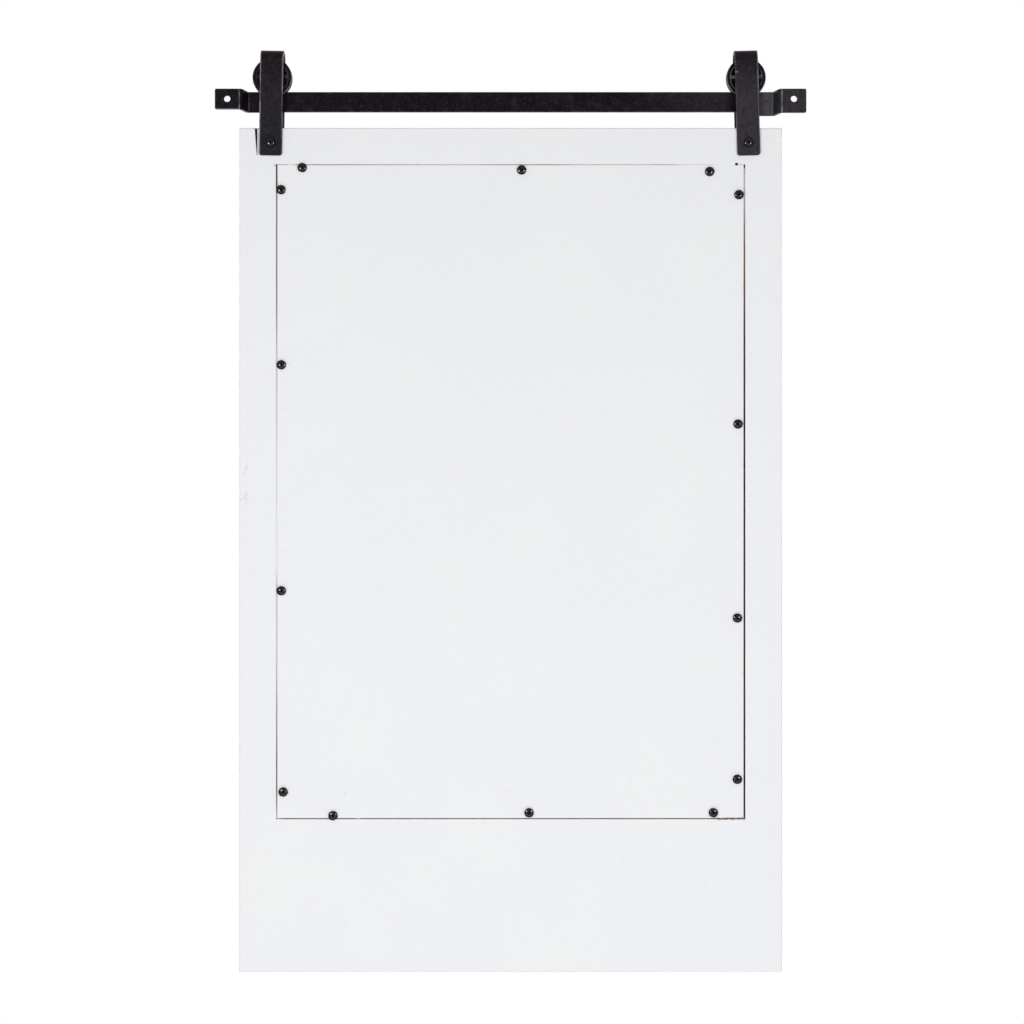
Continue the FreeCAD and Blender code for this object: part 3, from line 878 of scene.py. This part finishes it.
    def move(self, step: Sequence[float]) -> None:
        """Move the whole piece and put its place in its mesh."""
        self.grasp()
        bpy.ops.transform.translate(value=step)
        self.settle()

    def turn(self, angle: float, axis: str) -> None:
        """Turn the whole piece about the origin.

        Args:
            angle: Angle in radians.
            axis: X, Y or Z.
        """
        self.grasp()
        bpy.ops.transform.rotate(value=angle, orient_axis=axis, center_override=(0.0, 0.0, 0.0))
        self.settle()

    def settle(self) -> None:
        """Put the object's place, turn and size into its mesh."""
        self.grasp()
        bpy.ops.object.transform_apply(location=True, rotation=True, scale=True)

    def join(self, others: Sequence["Workpiece"]) -> None:
        """Take other pieces into this one."""
        self.grasp()
        for piece in others:
            piece.obj.select_set(True)
        bpy.ops.object.join()

    def smooth(self, angle: float = 32.0) -> None:
        """Shade smooth below an angle in degrees."""
        self.grasp()
        bpy.ops.object.shade_smooth_by_angle(angle=math.radians(angle))

    def hand_over(self, body: str, slot: str, material: Material,
                  nodes: Sequence[str] = ()) -> Piece:
        """Finish the piece: its material, its body, and the nodes that it stands for.

        Args:
            body: The body that it rides on.
            slot: The name of its material slot; not used.
            material: Its material.
            nodes: Nodes that it replaces.

        Returns:
            The piece's object.
        """
        self.obj.data.materials.clear()
        self.obj.data.materials.append(material)
        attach(self.obj, body)
        if nodes:
            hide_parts(*nodes)
        return self.obj


# Sub-assemblies


@dataclass
class Assembly(ABC):
    """A sub-assembly of the mirror."""

    nodes: Nodes
    layout: Layout

    @abstractmethod
    def build(self) -> List[Piece]:
        """Make and dress its pieces, and return them."""

    def coat(self, name: str, material: Material) -> Piece:
        """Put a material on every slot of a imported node, and return the node."""
        node = self.nodes[name]
        for place in node.material_slots:
            place.material = material
        return node


@dataclass
class Frame(Assembly):
    """The white boards, their dowels and the panel that closes the back."""

    paint: WhitePaint = WhitePaint()
    beech: Fibres = BARE_BEECH

    def build(self) -> List[Piece]:
        """Paint the boards and the panel."""
        upright = self.paint.material("white_paint_upright", self.layout, Grain.UPRIGHT)
        across = self.paint.material("white_paint_across", self.layout, Grain.ACROSS)
        coats = {"left_stile": upright, "right_stile": upright, "back_panel": upright,
                 "top_rail": across, "hook_board": across,
                 "frame_dowels": self.beech.material("bare_beech")}
        return [self.coat(name, material) for name, material in coats.items()]


@dataclass
class SeamPaint(Assembly):
    """Paint that ran into the seams round the panel, to a depth that changes along them.

    Depths are (place along the seam from its left or lower end, as a share, and depth in millimetres) pairs.
    """

    body: float = 0.9 * MM
    apart: float = 0.03 * MM
    left_depths: Stations = (
        (0.0, 3.0), (0.66, 3.0), (0.77, 1.5), (0.86, 1.0), (0.92, 0.75), (0.97, 0.5), (0.995, 0.6),
        (0.996, 2.4), (1.0, 2.4))
    right_depths: Stations = (
        (0.0, 0.4), (0.06, 1.3), (0.1, 0.8), (0.2, 0.5), (0.25, 0.33), (0.35, 0.38), (0.38, 0.1),
        (0.6, 0.26), (0.72, 0.42), (0.77, 0.68), (0.86, 0.9), (0.94, 0.95), (0.98, 2.0), (1.0, 2.0))
    top_depths: Stations = (
        (0.0, 0.4), (0.0115, 0.4), (0.0125, 3.0), (0.0185, 3.0), (0.0195, 0.04), (0.06, 0.04), (0.066, 0.25),
        (0.18, 0.5), (0.22, 0.32), (0.35, 0.32), (0.42, 0.95), (0.52, 0.8), (0.61, 0.32), (0.78, 0.55),
        (0.87, 0.9), (0.93, 2.5), (0.945, 2.5), (0.955, 0.2), (0.975, 0.1), (0.98, 0.9), (1.0, 1.4))
    bottom_depths: Stations = (
        (0.0, 3.0), (0.06, 3.0), (0.08, 1.6), (0.3, 1.5), (0.52, 1.2), (0.82, 1.25), (0.823, 0.3),
        (0.829, 0.3), (0.832, 1.2), (0.985, 1.1), (0.995, 0.4), (1.0, 0.4))
    paint: WhitePaint = WhitePaint()

    def build(self) -> List[Piece]:
        """Lay the strips of paint and dress them."""
        low, high = self.layout.panel_low, self.layout.panel_high
        pocket_low, pocket_high = self.layout.pocket_low, self.layout.pocket_high
        first, last = low.x + self.apart, high.x - self.apart
        strips = [
            self.strip("seam_paint", (high.x, low.z), (pocket_high.x, high.z), self.right_depths),
            self.strip("left", (pocket_low.x, low.z), (low.x, high.z), self.left_depths),
            self.strip("top", (first, high.z), (last, pocket_high.z), self.top_depths),
            self.strip("bottom", (first, pocket_low.z), (last, low.z), self.bottom_depths),
        ]
        strips[0].join(strips[1:])
        strips[0].smooth()
        return [strips[0].hand_over("mirror", "white_paint", self.skin("seam_paint"))]

    def strip(self, name: str, low: Tuple[float, float], high: Tuple[float, float],
              depths: Stations) -> Workpiece:
        """Make one strip in a seam.

        Args:
            name: The strip's name.
            low: Lowest x and z.
            high: Highest x and z.
            depths: How deep the paint lies along the strip.

        Returns:
            The strip.
        """
        back = self.layout.back
        strip = Workpiece.block(name, (low[0], back - self.body, low[1]), (high[0], back, high[1]))
        along = 0 if high[0] - low[0] > high[1] - low[1] else 2
        length = high[along // 2] - low[along // 2]
        start = low[along // 2]
        normal = [0.0, 0.0, 0.0]
        normal[along] = 1.0
        strip.edit()
        for share, _ in depths[1:-1]:
            point = [low[0], back, low[1]]
            point[along] = start + share * length
            bpy.ops.mesh.select_all(action="SELECT")
            bpy.ops.mesh.bisect(plane_co=point, plane_no=normal)
        for share, depth in depths:
            station = start + share * length
            strip.pick_points(lambda vert: abs(vert.co[along] - station) < 0.01 * MM)
            bpy.ops.transform.translate(value=(0.0, -depth * MM, 0.0))
        bpy.ops.object.mode_set(mode="OBJECT")
        return strip

    def skin(self, name: str) -> Material:
        """The same paint, greyer, browner and then near black the deeper it lies in a seam: a painted shade
        that grows with depth.
        """
        s = Surface(name)
        dust = s.noise(260.0, 3.0)
        # Painted shade: the colour goes grey, brown and then near black with depth in the seam.
        shade_depth = self.layout.back - s.y + 0.16 * MM * (dust - 0.5)
        colour = s.mix(shade_depth.rise(0.0, 0.25 * MM) * 0.5, self.paint.cool, self.paint.scuffed)
        colour = s.mix(shade_depth.rise(0.2 * MM, 1.0 * MM), colour, self.paint.fibre)
        colour = s.mix(shade_depth.rise(1.0 * MM, 2.4 * MM), colour, self.paint.deep_shade)
        return s.finish(
            Base_Color=colour,
            Roughness=0.6 + 0.2 * dust,
            Normal=s.bump(dust, 0.1 * MM, 0.5),
        )


@dataclass
class Glazing(Assembly):
    """The mirror glass and the card behind it."""

    glass: SilveredGlass = SilveredGlass()
    card: Fibres = GREY_CARD

    def build(self) -> List[Piece]:
        """Silver the glass and dress the card."""
        return [
            self.coat("mirror_glass", self.glass.material("silvered_glass", *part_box("mirror_glass"))),
            self.coat("backing_card", self.card.material("grey_card")),
        ]


@dataclass
class Rail(Assembly):
    """The iron rail that is screwed to the wall.

    Bends and the end of the spread are measured from each tip, and the dust from the left one.
    """

    iron: BlackIron = BlackIron()
    half_height: float = 8.75 * MM
    arris: float = 0.9 * MM
    tab_bend: float = 21.1 * MM
    rail_bend: float = 27.6 * MM
    spread_end: float = 60.0 * MM
    dusty_bar: Stretch = (28.0 * MM, 41.0 * MM)
    strap_shadow_ends: Stretch = (63.0 * MM, 70.0 * MM)
    dust_fades: Stretch = (160.0 * MM, 80.0 * MM)

    def build(self) -> List[Piece]:
        """Coat the rail: pale on its arrises and bends, partly rubbed and partly a painted highlight, and
        dusty at the end that was spread more, with a painted shadow beside the strap.
        """
        low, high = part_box("rail")

        def rub_and_highlight(s: Surface) -> Field:
            """Painted highlights, partly rubbed coat, on the long arrises and along the lines of the bends.
            """
            from_tip = high.x - abs(s.x)
            crest = s.z.rise(self.half_height - self.arris, self.half_height - 0.1 * MM)
            foot = s.z.rise(self.arris - self.half_height, 0.1 * MM - self.half_height)
            between = from_tip.rise(self.spread_end - 4 * MM, self.spread_end)
            arris = crest.most(foot * between) * from_tip.rise(self.tab_bend, self.rail_bend) * 0.22
            tab_highlight = abs(from_tip - self.tab_bend).rise(0.9 * MM, 0.2 * MM) * 0.6
            rail_highlight = abs(from_tip - self.rail_bend).rise(0.8 * MM, 0.2 * MM) * 0.4
            tab_foot = foot * s.x.rise(high.x - self.tab_bend, high.x - self.tab_bend + 2 * MM) * 0.45
            return arris.most(tab_highlight, rail_highlight, tab_foot)

        def pale(s: Surface) -> Field:
            """The left end, most of all between the strap and the bend; none under the strap and just beside
            its inner edge, which is left dark as a painted shadow of the strap.
            """
            from_left = s.x - low.x
            spread = from_left.rise(self.dusty_bar[1], self.dusty_bar[1] - 4 * MM)
            bar = from_left.within(*self.dusty_bar, 2 * MM)
            # Painted shadow: no dust from under the strap to just beside its inner edge.
            beyond = from_left.rise(*self.dust_fades) * from_left.rise(*self.strap_shadow_ends)
            return spread * (0.4 + 0.6 * bar) + 0.16 * beyond

        return [self.coat("rail", self.iron.material("black_iron_rail", rub_and_highlight, pale))]


@dataclass
class Hanger(Assembly):
    """A strap, the axle through it and the sleeves beside the roller.

    The inner arris faces the other strap. Each arris has its pale line, partly rubbed coat and partly a
    painted highlight, beside the roller and below it, and beside gives the heights between which the one goes
    over into the other.
    """

    side: Side = Side.LEFT
    lean: float = 0.0
    dusty: float = 0.0
    rusted: float = 0.0
    inner_rub_highlight: Tuple[float, float] = (0.15, 0.08)
    outer_rub_highlight: Tuple[float, float] = (0.6, 0.28)
    beside: Stretch = (4.0 * MM, 12.0 * MM)
    nick: float = 0.0
    nick_height: Stretch = (24.2 * MM, 25.2 * MM)
    nick_length: float = 3.4 * MM
    iron: BlackIron = BlackIron()
    zinc: ZincSteel = ZincSteel()
    half: float = 10.0 * MM
    arris: float = 1.2 * MM

    def build(self) -> List[Piece]:
        """Coat the strap, the axle and the sleeves."""
        name = self.side.value
        low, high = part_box(f"{name}_hanger_strap")
        roller_low, roller_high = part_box(f"{name}_roller")
        axle = (roller_low + roller_high) / 2
        inwards = -1.0 if axle.x > 0 else 1.0

        def rub_and_highlight(s: Surface) -> Field:
            """Painted highlights, partly rubbed coat, along the strap's two long arrises, and a nick in one
            of them.
            """
            across = (s.x - axle.x - (s.z - axle.z) * math.tan(math.radians(self.lean))) * inwards
            beside = s.z.rise(*self.beside)
            nick = across.rise(self.half - self.nick_length, self.half - MM)
            worn = nick * s.z.within(*self.nick_height, 0.6 * MM) * self.nick
            for facing, (upper, lower) in ((1.0, self.inner_rub_highlight), (-1.0, self.outer_rub_highlight)):
                edge = (across * facing).rise(self.half - self.arris, self.half - 0.5 * MM)
                worn = worn + edge * (lower + (upper - lower) * beside)
            return worn

        def pale(s: Surface) -> Field:
            """A thin, dusty coat below the bend."""
            return (0.2 + 0.8 * s.z.rise(high.z - 4 * MM, high.z - 44 * MM)) * self.dusty

        def rusty(s: Surface) -> Field:
            """The bend, most of all along its top."""
            crest = s.z.rise(high.z - 2.6 * MM, high.z - 0.8 * MM)
            return (crest + 0.03 * s.z.rise(high.z - 16 * MM, high.z - 8 * MM)) * self.rusted

        def domed(s: Surface) -> Field:
            """Nothing is rubbed on the axle but the crown of its head."""
            return s.y.rise(low.y, low.y - 3 * MM) * 0.25

        coats = {"hanger_strap": self.iron.material(f"black_iron_{name}_strap", rub_and_highlight, pale, rusty),
                 "roller_axle": self.iron.material(f"black_iron_{name}_axle", domed, pale),
                 "roller_spacers": self.zinc.material(f"zinc_{name}_sleeves")}
        return [self.coat(f"{name}_{node}", material) for node, material in coats.items()]


@dataclass
class Roller(Assembly):
    """A grooved roller with spokes, turned from a profile."""

    side: Side = Side.LEFT
    groove_half: float = 2.1 * MM
    flare: float = 1.2 * MM
    groove_radius: float = 11.85 * MM
    rim: float = 3.5 * MM
    web_half: float = 3.5 * MM
    hub_radius: float = 6.5 * MM
    bore: float = 3.08 * MM
    spoke_sink: float = 0.4 * MM
    steps: int = 72
    spokes: int = 6
    spoke_steps: int = 3
    softened: float = 0.35 * MM
    # Strength of the pale on the spokes, partly rubbed coat and partly a painted highlight.
    worn: float = 0.4
    iron: BlackIron = BlackIron()

    def build(self) -> List[Piece]:
        """Turn the wheel, press the pockets between its spokes, soften its edges and dress it."""
        node = f"{self.side.value}_roller"
        low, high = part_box(node)
        middle = (low + high) / 2
        radius, half = (high.x - low.x) / 2, (high.y - low.y) / 2
        rim_inner = radius - self.rim
        spoke_face = half - self.spoke_sink
        side = [(self.bore, half), (self.hub_radius, half), (self.hub_radius, spoke_face),
                (rim_inner, spoke_face), (rim_inner, half), (radius, half),
                (radius, self.groove_half + self.flare), (self.groove_radius, self.groove_half)]
        outline = side + [(out, -y) for out, y in reversed(side)]
        wheel = Workpiece.turned(f"{node}_wheel", outline, self.steps, closed=True)
        wheel.edit()
        for way in (-1, 1):
            wheel.pick_faces(lambda face: face.normal.y * way > 0.9 and self.between_spokes(face, rim_inner))
            press = way * (self.web_half - spoke_face)
            bpy.ops.mesh.extrude_region_move(TRANSFORM_OT_translate={"value": (0.0, press, 0.0)})
        wheel.soften(self.softened)
        wheel.clean()
        wheel.smooth()
        wheel.move(middle)

        def rub_and_highlight(s: Surface) -> Field:
            """The groove's floor, which runs on the rail and is worn, and painted highlights, partly rubbed
            coat, on the spokes and the rims' outer edges.
            """
            out = ((s.x - middle.x) ** 2.0 + (s.z - middle.z) ** 2.0) ** 0.5
            floor = out.rise(self.groove_radius + 0.9 * MM, self.groove_radius + 0.1 * MM)
            inside = abs(s.y - middle.y).rise(self.groove_half + 0.3 * MM, self.groove_half)
            rims = out.rise(radius - 0.6 * MM, radius - 0.1 * MM) * 0.7
            raised = abs(s.y - middle.y).rise(half - 0.7 * MM, half - 0.3 * MM)
            spokes = raised * out.within(self.hub_radius, rim_inner, MM) * self.worn
            return (floor * inside).most(rims, spokes)

        return [wheel.hand_over(node, "black_iron", self.iron.material(f"black_iron_{node}", rub_and_highlight), [node])]

    def between_spokes(self, face: bmesh.types.BMFace, rim_inner: float) -> bool:
        """Whether a face lies in a pocket between two spokes."""
        point = face.calc_center_median()
        pitch = math.tau / self.spokes
        turned = (math.atan2(point.z, point.x) + pitch / 2) % pitch - pitch / 2
        off_spoke = abs(turned) > self.spoke_steps * math.pi / self.steps
        return off_spoke and self.hub_radius < math.hypot(point.x, point.z) < rim_inner


@dataclass
class Hooks(Assembly):
    """The three coat hooks on the bottom board."""

    iron: BlackIron = BlackIron()
    ball: float = 9.0 * MM

    def build(self) -> List[Piece]:
        """Coat the hooks."""
        return [self.coated(f"{name}_hook") for name in ("left", "middle", "right")]

    def coated(self, node: str) -> Piece:
        """Coat one hook: rubbed on the ball and along the plate's edge."""
        low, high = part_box(node)
        middle, half = (low.x + high.x) / 2, (high.x - low.x) / 2

        def rub_and_highlight(s: Surface) -> Field:
            """The ball's outer half and the plate's long edges."""
            ball = s.y.rise(low.y + self.ball, low.y) * 0.35
            edge = abs(s.x - middle).rise(half - 1.2 * MM, half - 0.2 * MM) * 0.5
            return ball.most(edge)

        return self.coat(node, self.iron.material(f"black_iron_{node}", rub_and_highlight))


@dataclass
class Screws(Assembly):
    """Every pan-head screw: one is modelled, and the rest are copies with a turn of their own."""

    head_radius: float = 4.0 * MM
    head_height: float = 2.7 * MM
    head_rim: float = 2.01 * MM
    shank_radius: float = 1.75 * MM
    point: float = 2.0 * MM
    cross_length: float = 4.2 * MM
    cross_width: float = 1.1 * MM
    cross_depth: float = 1.5 * MM
    cross_taper: float = 0.62
    dome_steps: int = 9
    sides: int = 40
    gloss: BlackScrew = BlackScrew()
    seed: int = 7

    def build(self) -> List[Piece]:
        """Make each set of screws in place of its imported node."""
        chance = random.Random(self.seed)
        sets = {"panel_screws": Facing.WALL, "hanger_back_screws": Facing.WALL,
                "hanger_front_screws": Facing.ROOM, "hook_screws": Facing.ROOM}
        made = []
        for node, facing in sets.items():
            low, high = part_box(node)
            master = self.screw(high.y - low.y - self.head_height)
            crown = high.y if facing is Facing.WALL else low.y
            seat = crown - self.head_height * facing.value
            copies = []
            for index, (x, z) in enumerate(self.centres(node)):
                copy = master.copy(f"{node}_{index}")
                copy.turn(chance.uniform(0.0, math.tau), "Y")
                if facing is Facing.ROOM:
                    copy.turn(math.pi, "Z")
                copy.move((x, seat, z))
                copies.append(copy)
            bpy.data.objects.remove(master.obj)
            copies[0].join(copies[1:])
            copies[0].smooth()
            copies[0].obj.name = f"{node}_driven"
            gloss = self.gloss.material(f"black_screw_{node}", crown, facing)
            made.append(copies[0].hand_over("mirror", "black_screw", gloss, [node]))
        return made

    def centres(self, node: str) -> List[Tuple[float, float]]:
        """Middle (x, z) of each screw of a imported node, by grouping its points."""
        groups: List[List[Vector]] = []
        for vert in self.nodes[node].data.vertices:
            for group in groups:
                if math.hypot(vert.co.x - group[0].x, vert.co.z - group[0].z) < 2.2 * self.head_radius:
                    group.append(vert.co.copy())
                    break
            else:
                groups.append([vert.co.copy()])
        return [((min(p.x for p in group) + max(p.x for p in group)) / 2,
                 (min(p.z for p in group) + max(p.z for p in group)) / 2) for group in groups]

    def screw(self, length: float) -> Workpiece:
        """Turn one screw, head towards +Y with its seat at the origin, and cut its cross.

        Args:
            length: From the seat to the point.

        Returns:
            The screw.
        """
        rise = self.head_height - self.head_rim
        dome = (self.head_radius ** 2 + rise ** 2) / (2 * rise)
        reach = math.asin(self.head_radius / dome)
        profile = [(dome * math.sin(reach * step / self.dome_steps),
                    self.head_height - dome * (1 - math.cos(reach * step / self.dome_steps)))
                   for step in range(self.dome_steps + 1)]
        profile += [(self.head_radius, 0.0), (self.shank_radius, 0.0),
                    (self.shank_radius, self.point - length), (0.0, -length)]
        screw = Workpiece.turned("screw", profile, self.sides)
        foot, top = self.head_height - self.cross_depth, self.head_height + MM
        for long_x, long_z in ((self.cross_length, self.cross_width), (self.cross_width, self.cross_length)):
            tool = Workpiece.block("cross", (-long_x / 2, foot, -long_z / 2), (long_x / 2, top, long_z / 2))
            tool.edit()
            tool.pick_faces(lambda face: face.normal.y < -0.9)
            bpy.ops.transform.resize(value=(self.cross_taper, 1.0, self.cross_taper),
                                     center_override=(0.0, foot, 0.0))
            screw.cut_with(tool)
        return screw


# Studio


@dataclass(frozen=True)
class Lamp:
    """A square softbox: its name, place, power in watts and width."""

    name: str
    place: Place
    power: float
    width: float


@dataclass
class Studio:
    """Camera, lamps, world and floor."""

    distance: float = 2.4
    aside: float = -0.0012
    height: float = -0.3562
    lens: float = 97.9
    sensor: float = 36.0
    floor_drop: float = 1.5
    floor_size: float = 9.0
    floor_fades: Stretch = (0.7, 1.9)
    fill: float = 0.25
    lamps: Tuple[Lamp, ...] = (
        Lamp("key_left", (1.0, 2.5, -0.16), 20.0, 0.45), Lamp("key_right", (-1.0, 2.5, -0.16), 17.0, 0.45),
        Lamp("low", (0.0, 1.7, -1.35), 10.0, 1.8),
        Lamp("room_left", (-1.7, -2.0, 0.2), 36.0, 1.2), Lamp("room_right", (1.7, -2.0, 0.2), 30.0, 1.2))

    def set_up(self, lowest: float) -> None:
        """Set the whole studio.

        Args:
            lowest: Height of the object's lowest point.
        """
        self.place_camera()
        for lamp in self.lamps:
            self.hang(lamp)
        self.light_world()
        self.lay_floor(lowest - self.floor_drop)

    def place_camera(self) -> None:
        """Stand the camera on the wall's side, level, at the photograph's height."""
        bpy.ops.object.camera_add(location=(self.aside, self.distance, self.height),
                                  rotation=(math.pi / 2, 0.0, math.pi))
        camera = bpy.context.active_object
        camera.name = "camera"
        camera.data.lens = self.lens
        camera.data.sensor_width = self.sensor
        bpy.context.scene.camera = camera

    def hang(self, lamp: Lamp) -> None:
        """Hang a lamp that looks at the mirror's middle."""
        bpy.ops.object.light_add(type="AREA", location=lamp.place)
        hung = bpy.context.active_object
        hung.name = lamp.name
        hung.data.energy = lamp.power
        hung.data.size = lamp.width
        aim = Vector((0.0, 0.0, self.height)) - Vector(lamp.place)
        hung.rotation_euler = aim.to_track_quat("-Z", "Y").to_euler()

    @staticmethod
    def seen_directly(graph: Graph) -> Field:
        """1 for rays from the camera and for those that metal or glass sends on."""
        path = graph.node("ShaderNodeLightPath").outputs
        kinds = ("Camera", "Glossy", "Transmission")
        seen, *sent_on = (Field(graph, path[f"Is {kind} Ray"]) for kind in kinds)
        return seen.most(*sent_on)

    def light_world(self) -> None:
        """A white world that lights the object at a plain level."""
        world = bpy.data.worlds.new("studio")
        bpy.context.scene.world = world
        world.use_nodes = True
        graph = Graph(world.node_tree)
        light, shown = (
            graph.node("ShaderNodeBackground", inputs={"Color": WHITE, "Strength": strength}).outputs[0]
            for strength in (self.fill, 1.0))
        shader = graph.blend(self.seen_directly(graph), light, shown)
        graph.node("ShaderNodeOutputWorld", inputs={"Surface": shader})

    def lay_floor(self, level: float) -> None:
        """A pale floor that keeps the object's shadow near it and fades into white.

        Args:
            level: The floor's height.
        """
        bpy.ops.mesh.primitive_plane_add(size=self.floor_size, location=(0.0, 0.0, level))
        floor = bpy.context.active_object
        floor.name = "floor"
        s = Surface("pale_floor")
        out = (s.x ** 2.0 + s.y ** 2.0) ** 0.5
        tone = s.mix(s.noise(2.0, 3.0), screen(236, 236, 238), screen(242, 242, 243))
        matt = s.node("ShaderNodeBsdfDiffuse", inputs={"Color": tone}).outputs[0]
        white = s.node("ShaderNodeEmission", inputs={"Color": WHITE, "Strength": 1.0}).outputs[0]
        share = self.seen_directly(s) * (0.45 + 0.55 * out.rise(*self.floor_fades))
        floor.data.materials.append(s.close(s.blend(share, matt, white)))
        floor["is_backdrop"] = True


def main() -> None:
    """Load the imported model, build and dress each sub-assembly, and set the studio."""
    logging.basicConfig(level=logging.INFO, format="%(name)s: %(message)s")
    nodes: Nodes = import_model()["nodes"]
    cad_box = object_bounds()
    layout = Layout.read(nodes)
    bpy.context.scene.view_settings.view_transform = "Standard"
    plain = (Frame, SeamPaint, Glazing, Rail, Hooks, Screws)
    assemblies: List[Assembly] = [kind(nodes, layout) for kind in plain]
    assemblies += [Hanger(nodes, layout, Side.LEFT, lean=1.5, dusty=0.46, rusted=0.35, nick=0.6),
                   Roller(nodes, layout, Side.LEFT, worn=0.5),
                   Hanger(nodes, layout, Side.RIGHT, lean=-0.9, dusty=0.18, rusted=0.8,
                          inner_rub_highlight=(0.6, 0.22), outer_rub_highlight=(0.7, 1.3)),
                   Roller(nodes, layout, Side.RIGHT, worn=0.25)]
    for assembly in assemblies:
        for piece in assembly.build():
            LOG.info("%s: %s", type(assembly).__name__, piece.name)
    Studio().set_up(cad_box[0].z)


if __name__ == "__main__":
    main()
